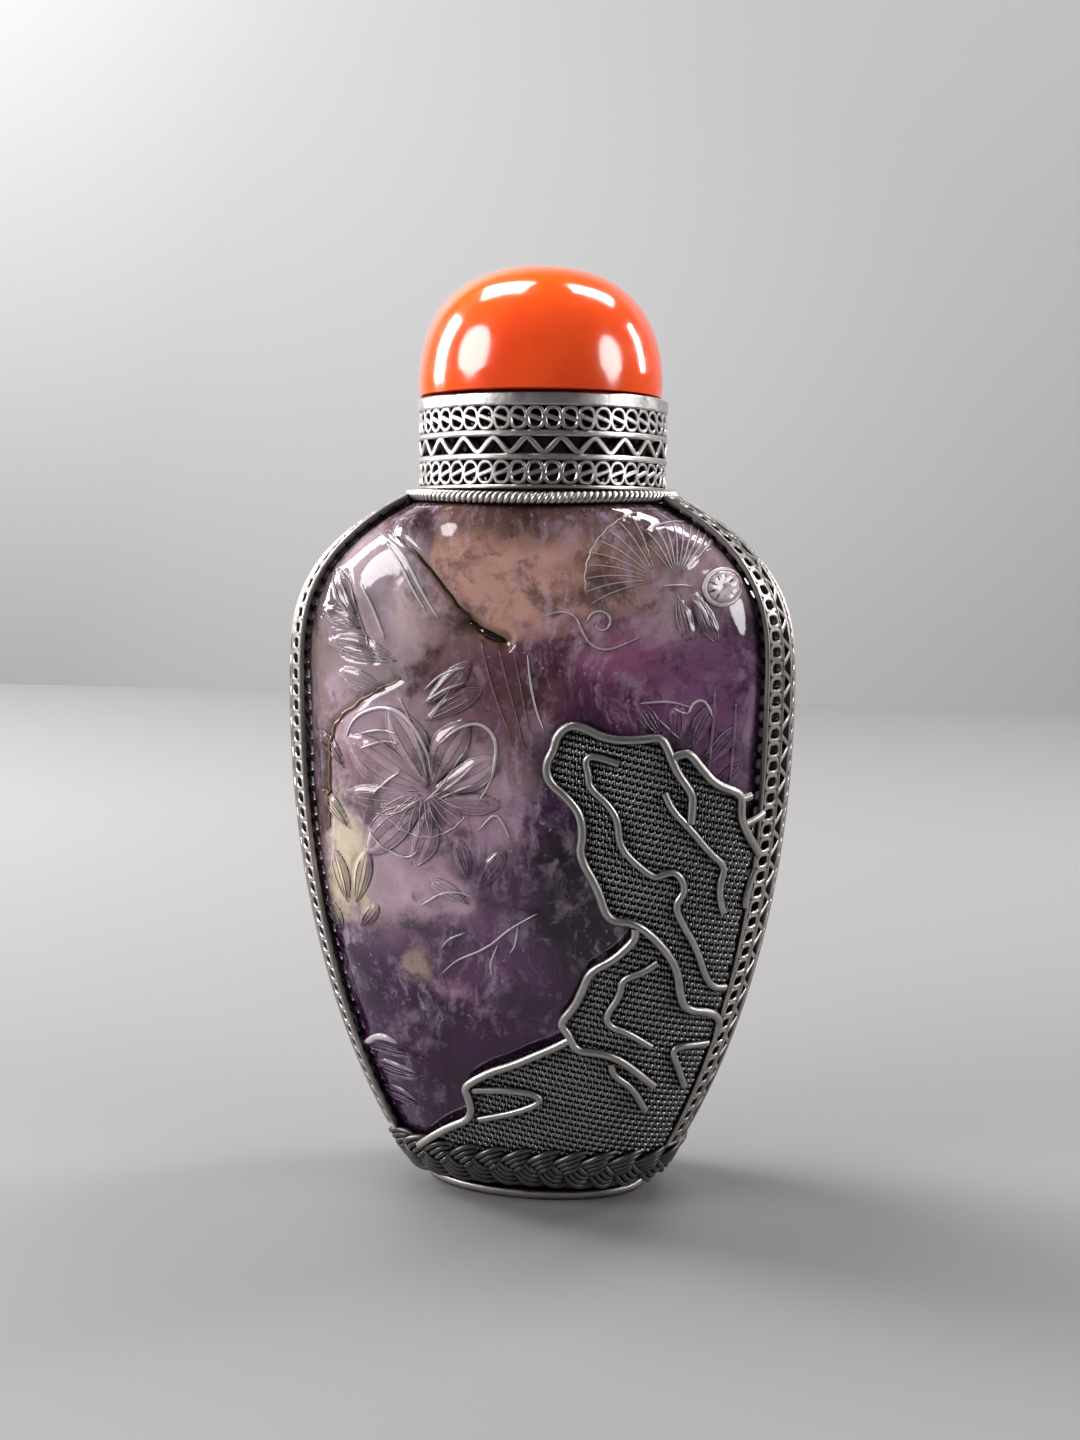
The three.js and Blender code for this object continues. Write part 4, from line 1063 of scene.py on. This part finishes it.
def cragOutline():
    def line(name):
        return softened(crag[name], 0.4).tolist()

    def nearest(path, place):
        return min(range(len(path)), key=lambda k: dist(path[k], place))

    upper, lower = line("upper_crag_wire"), line("lower_crag_wire")
    right, left, corner = cloth["meetings"]
    ring = [cloth["corner"]] + line("lower_slope_wire")[::-1] + lower[:nearest(lower, corner)][::-1]
    ring += upper[nearest(upper, right):nearest(upper, left)][::-1]
    ring += line("right_crag_wire")[:-9] + line("corner_twig")
    levels = np.arange(35.5, cloth["foot"] - 0.1, -0.8)
    return np.array(ring + list(zip(stoneSection(levels)[0] * cloth["bandSide"], levels)))


def insideRing(x, z, ring):
    inside = np.zeros(x.shape, bool)
    for (ax, az), (bx, bz) in zip(ring, np.roll(ring, -1, 0)):
        crosses = (az > z) != (bz > z)
        slope = (bx - ax) / (bz - az if bz != az else 1e-9)
        inside ^= crosses & (x < ax + slope * (z - az))
    return inside


def makeCloth():
    ring = cragOutline()
    tilt = radians(cloth["tilt"])
    fine = np.linspace(0, pi / 2, 500)
    levels = np.linspace(stone["base"], 61, 241)
    shares = np.linspace(0, 1, 400)
    # at each level, the distance along the stone's curve at each share of its half-width
    reaches = []
    for level in levels:
        curve = stonePoint(fine, level)[::-1, :2]
        reaches.append(np.interp(shares, curve[:, 0] / curve[-1, 0], reachAlong(curve)))
    halfWidths = stoneSection(levels)[0]

    def xFromReach(reach, z):
        row = np.clip(np.searchsorted(levels, z), 0, len(levels) - 1)
        out = np.empty(reach.shape)
        for k in np.unique(row):
            pick = row == k
            share = np.interp(np.abs(reach[pick]), reaches[k], shares)
            out[pick] = np.sign(reach[pick]) * share * halfWidths[k]
        return out

    def runs(u, row, height):
        # the parts of one wire that lie inside the crag
        z = row * cloth["weftPitch"] / cos(tilt) + u * sin(tilt)
        x = xFromReach(u * cos(tilt) + cloth["left"], z)
        inside = insideRing(x, z, ring) & (z > cloth["foot"]) & (z < 60)
        parts = []
        for piece in np.split(np.arange(len(x)), np.flatnonzero(np.diff(inside.astype(int))) + 1):
            if len(piece) > 2 and inside[piece[0]]:
                parts.append((*onFront(np.column_stack([x[piece], z[piece]]), height[piece]), False))
        return parts

    weft, warp = [], []
    step = np.arange(*cloth["weftSteps"])
    for row in range(*cloth["weftRows"]):
        lift = np.where(step % 2 == 0, np.cos(pi * (step / 2 + row)), 0)
        weft += runs(step * cloth["warpPitch"] / 2, row, cloth["middle"] + cloth["swing"] * lift)
    step = np.arange(*cloth["warpSteps"])
    for column in range(*cloth["warpRows"]):
        lift = np.where(step % 2 == 0, -np.cos(pi * (column + step / 2)), 0)
        height = cloth["middle"] + cloth["warpSwing"] * lift
        warp += runs(np.full(step.shape, column * cloth["warpPitch"]), step / 2, height)
    points, faces = sweep(weft, roundSection(cloth["weftRadius"], 6, cloth["weftFlatness"]))
    points, faces = joined(points, faces, warp, roundSection(cloth["warpRadius"], 4))
    return makePiece("rock_mesh_woven", points, faces, blackSilver, ["rock_mesh_panel"])


makeCloth()


# Pale table and backdrop
setting = {
    "tableBack": 385, "tableHalf": 900, "tableFront": -700, "edge": 20, "backdrop": 700,
    "tableColour": (0.215, 0.21, 0.21), "nearShadeColour": (0.165, 0.16, 0.16),
    "cloudColour": (0.16, 0.155, 0.155),
    "shadedColour": (0.07, 0.068, 0.068), "backdropColour": (0.44, 0.435, 0.44),
    "hazeColour": (0.34, 0.335, 0.34), "wall": ((-1500, -600), (1500, -600), (1500, 1500), (-1500, 1500)),
}


def makeStage():
    material, tree, shader, place = startMaterial("paleTable", Roughness=0.6)
    depth = addNode(tree, "SeparateXYZ", {0: place}).outputs["Y"]
    # painted shade: the table darkens towards the front and turns near-black out of view in front, standing
    # in for light falling off
    colour = mixColour(tree, ranged(tree, depth, -0.04, 0.16), setting["nearShadeColour"], setting["tableColour"])
    colour = mixColour(tree, ranged(tree, depth, -0.13, -0.04), setting["shadedColour"], colour)
    cloudy = ranged(tree, noise(tree, place, 9), 0.3, 0.7, 0.0, 0.08)
    feed(tree, shader, Base_Color=mixColour(tree, cloudy, colour, setting["cloudColour"]))
    addBump(tree, shader, noise(tree, place, 1500), 0.05, 0.3)
    half, back, edge = setting["tableHalf"], setting["tableBack"], setting["edge"]
    lines = [(setting["tableFront"], 0), (-100, 0), (back - 60, 0)]
    for bend in np.linspace(0, pi / 2, 9):  # rounded far edge
        lines.append((back - edge * (1 - sin(bend)), edge * (cos(bend) - 1)))
    lines.append((back, -300))
    corners = [(side, y, z) for y, z in lines for side in (-half, half)]
    faces = [(2 * k, 2 * k + 1, 2 * k + 3, 2 * k + 2) for k in range(len(lines) - 1)]
    addMesh("table", corners, faces, material)
    wall, tree, shader, place = startMaterial("paleBackdrop", Roughness=0.9)
    haze = ranged(tree, noise(tree, place, 2, 2.0), 0.3, 0.7, 0.0, 0.1)
    feed(tree, shader, Base_Color=mixColour(tree, haze, setting["backdropColour"], setting["hazeColour"]))
    corners = [(x, setting["backdrop"], z) for x, z in setting["wall"]]
    addMesh("backdrop", corners, [(0, 1, 2, 3)], wall)


makeStage()


# Soft lights: turn from the front (right is positive), lift, distance, width, height, power, shape
lights = {
    "frontLeft": (-60, 24, 420, 230, 250, 1.7, "ELLIPSE"),
    "leftStrip": (-101, 23, 450, 105, 250, 2.9, "RECTANGLE"),
    "topLeft": (-112, 69, 420, 140, 190, 1.3, "RECTANGLE"),
    "frontRight": (76, 20, 420, 165, 205, 0.9, "ELLIPSE"),
    "topRight": (126, 61, 430, 95, 185, 1.0, "RECTANGLE"),
    "rightRim": (117, 24, 450, 45, 170, 0.75, "RECTANGLE"),
}


# Lamps that light the backdrop: power, size, place and aim in metres
glows = {
    "backdropGlow": (7.6, 0.5, (-0.55, 0.25, 0.55), (-0.25, 0.7, 0.3)),
    "backdropGlowRight": (1.3, 0.3, (0.45, 0.4, 0.55), (0.28, 0.7, 0.34)),
}
room = {"colour": (0.85, 0.87, 0.9, 1), "strength": 0.11}


def addLamp(name, power, size, place, aim, **settings):
    data = bpy.data.lights.new(name, "AREA")
    data.energy, data.size = power, size
    for key, value in settings.items():
        setattr(data, key, value)
    lamp = addObject(name, data)
    lamp.location = place
    lamp.rotation_euler = (Vector(place) - Vector(aim)).to_track_quat("Z", "Y").to_euler()
    return lamp


def makeLights():
    aim = Vector((0, 0, 45)) * mm
    for name, (turn, lift, distance, width, height, power, shape) in lights.items():
        side, up = radians(turn), radians(lift)
        way = Vector((sin(side) * cos(up), -cos(side) * cos(up), sin(up)))
        addLamp(name, power, width * mm, aim + way * distance * mm, aim, shape=shape, size_y=height * mm)
    for name, (power, size, place, target) in glows.items():
        addLamp(name, power, size, place, target).visible_glossy = False
    world = bpy.data.worlds.new("softRoom")
    world.use_nodes = True
    background = world.node_tree.nodes["Background"]
    background.inputs[0].default_value, background.inputs[1].default_value = room["colour"], room["strength"]
    bpy.context.scene.world = world


makeLights()


# Camera at the photograph's angle
view = {"turn": 7.5, "distance": 121, "height": 58.2, "dip": 7.7, "roll": 0.57, "lens": 35, "sensor": 36}


def makeCamera():
    data = bpy.data.cameras.new("photoCamera")
    data.lens, data.sensor_width = view["lens"], view["sensor"]
    data.clip_start, data.clip_end = 0.01, 10
    camera = addObject("photoCamera", data)
    turn, dip = radians(view["turn"]), radians(view["dip"])
    away = view["distance"]
    camera.location = (away * sin(turn) * mm, -away * cos(turn) * mm, view["height"] * mm)
    roll = Matrix.Rotation(radians(view["roll"]), 3, "Z")
    camera.rotation_euler = (Euler((pi / 2 - dip, 0, turn)).to_matrix() @ roll).to_euler()
    bpy.context.scene.camera = camera
    bpy.context.scene.view_settings.view_transform = "Standard"


makeCamera()
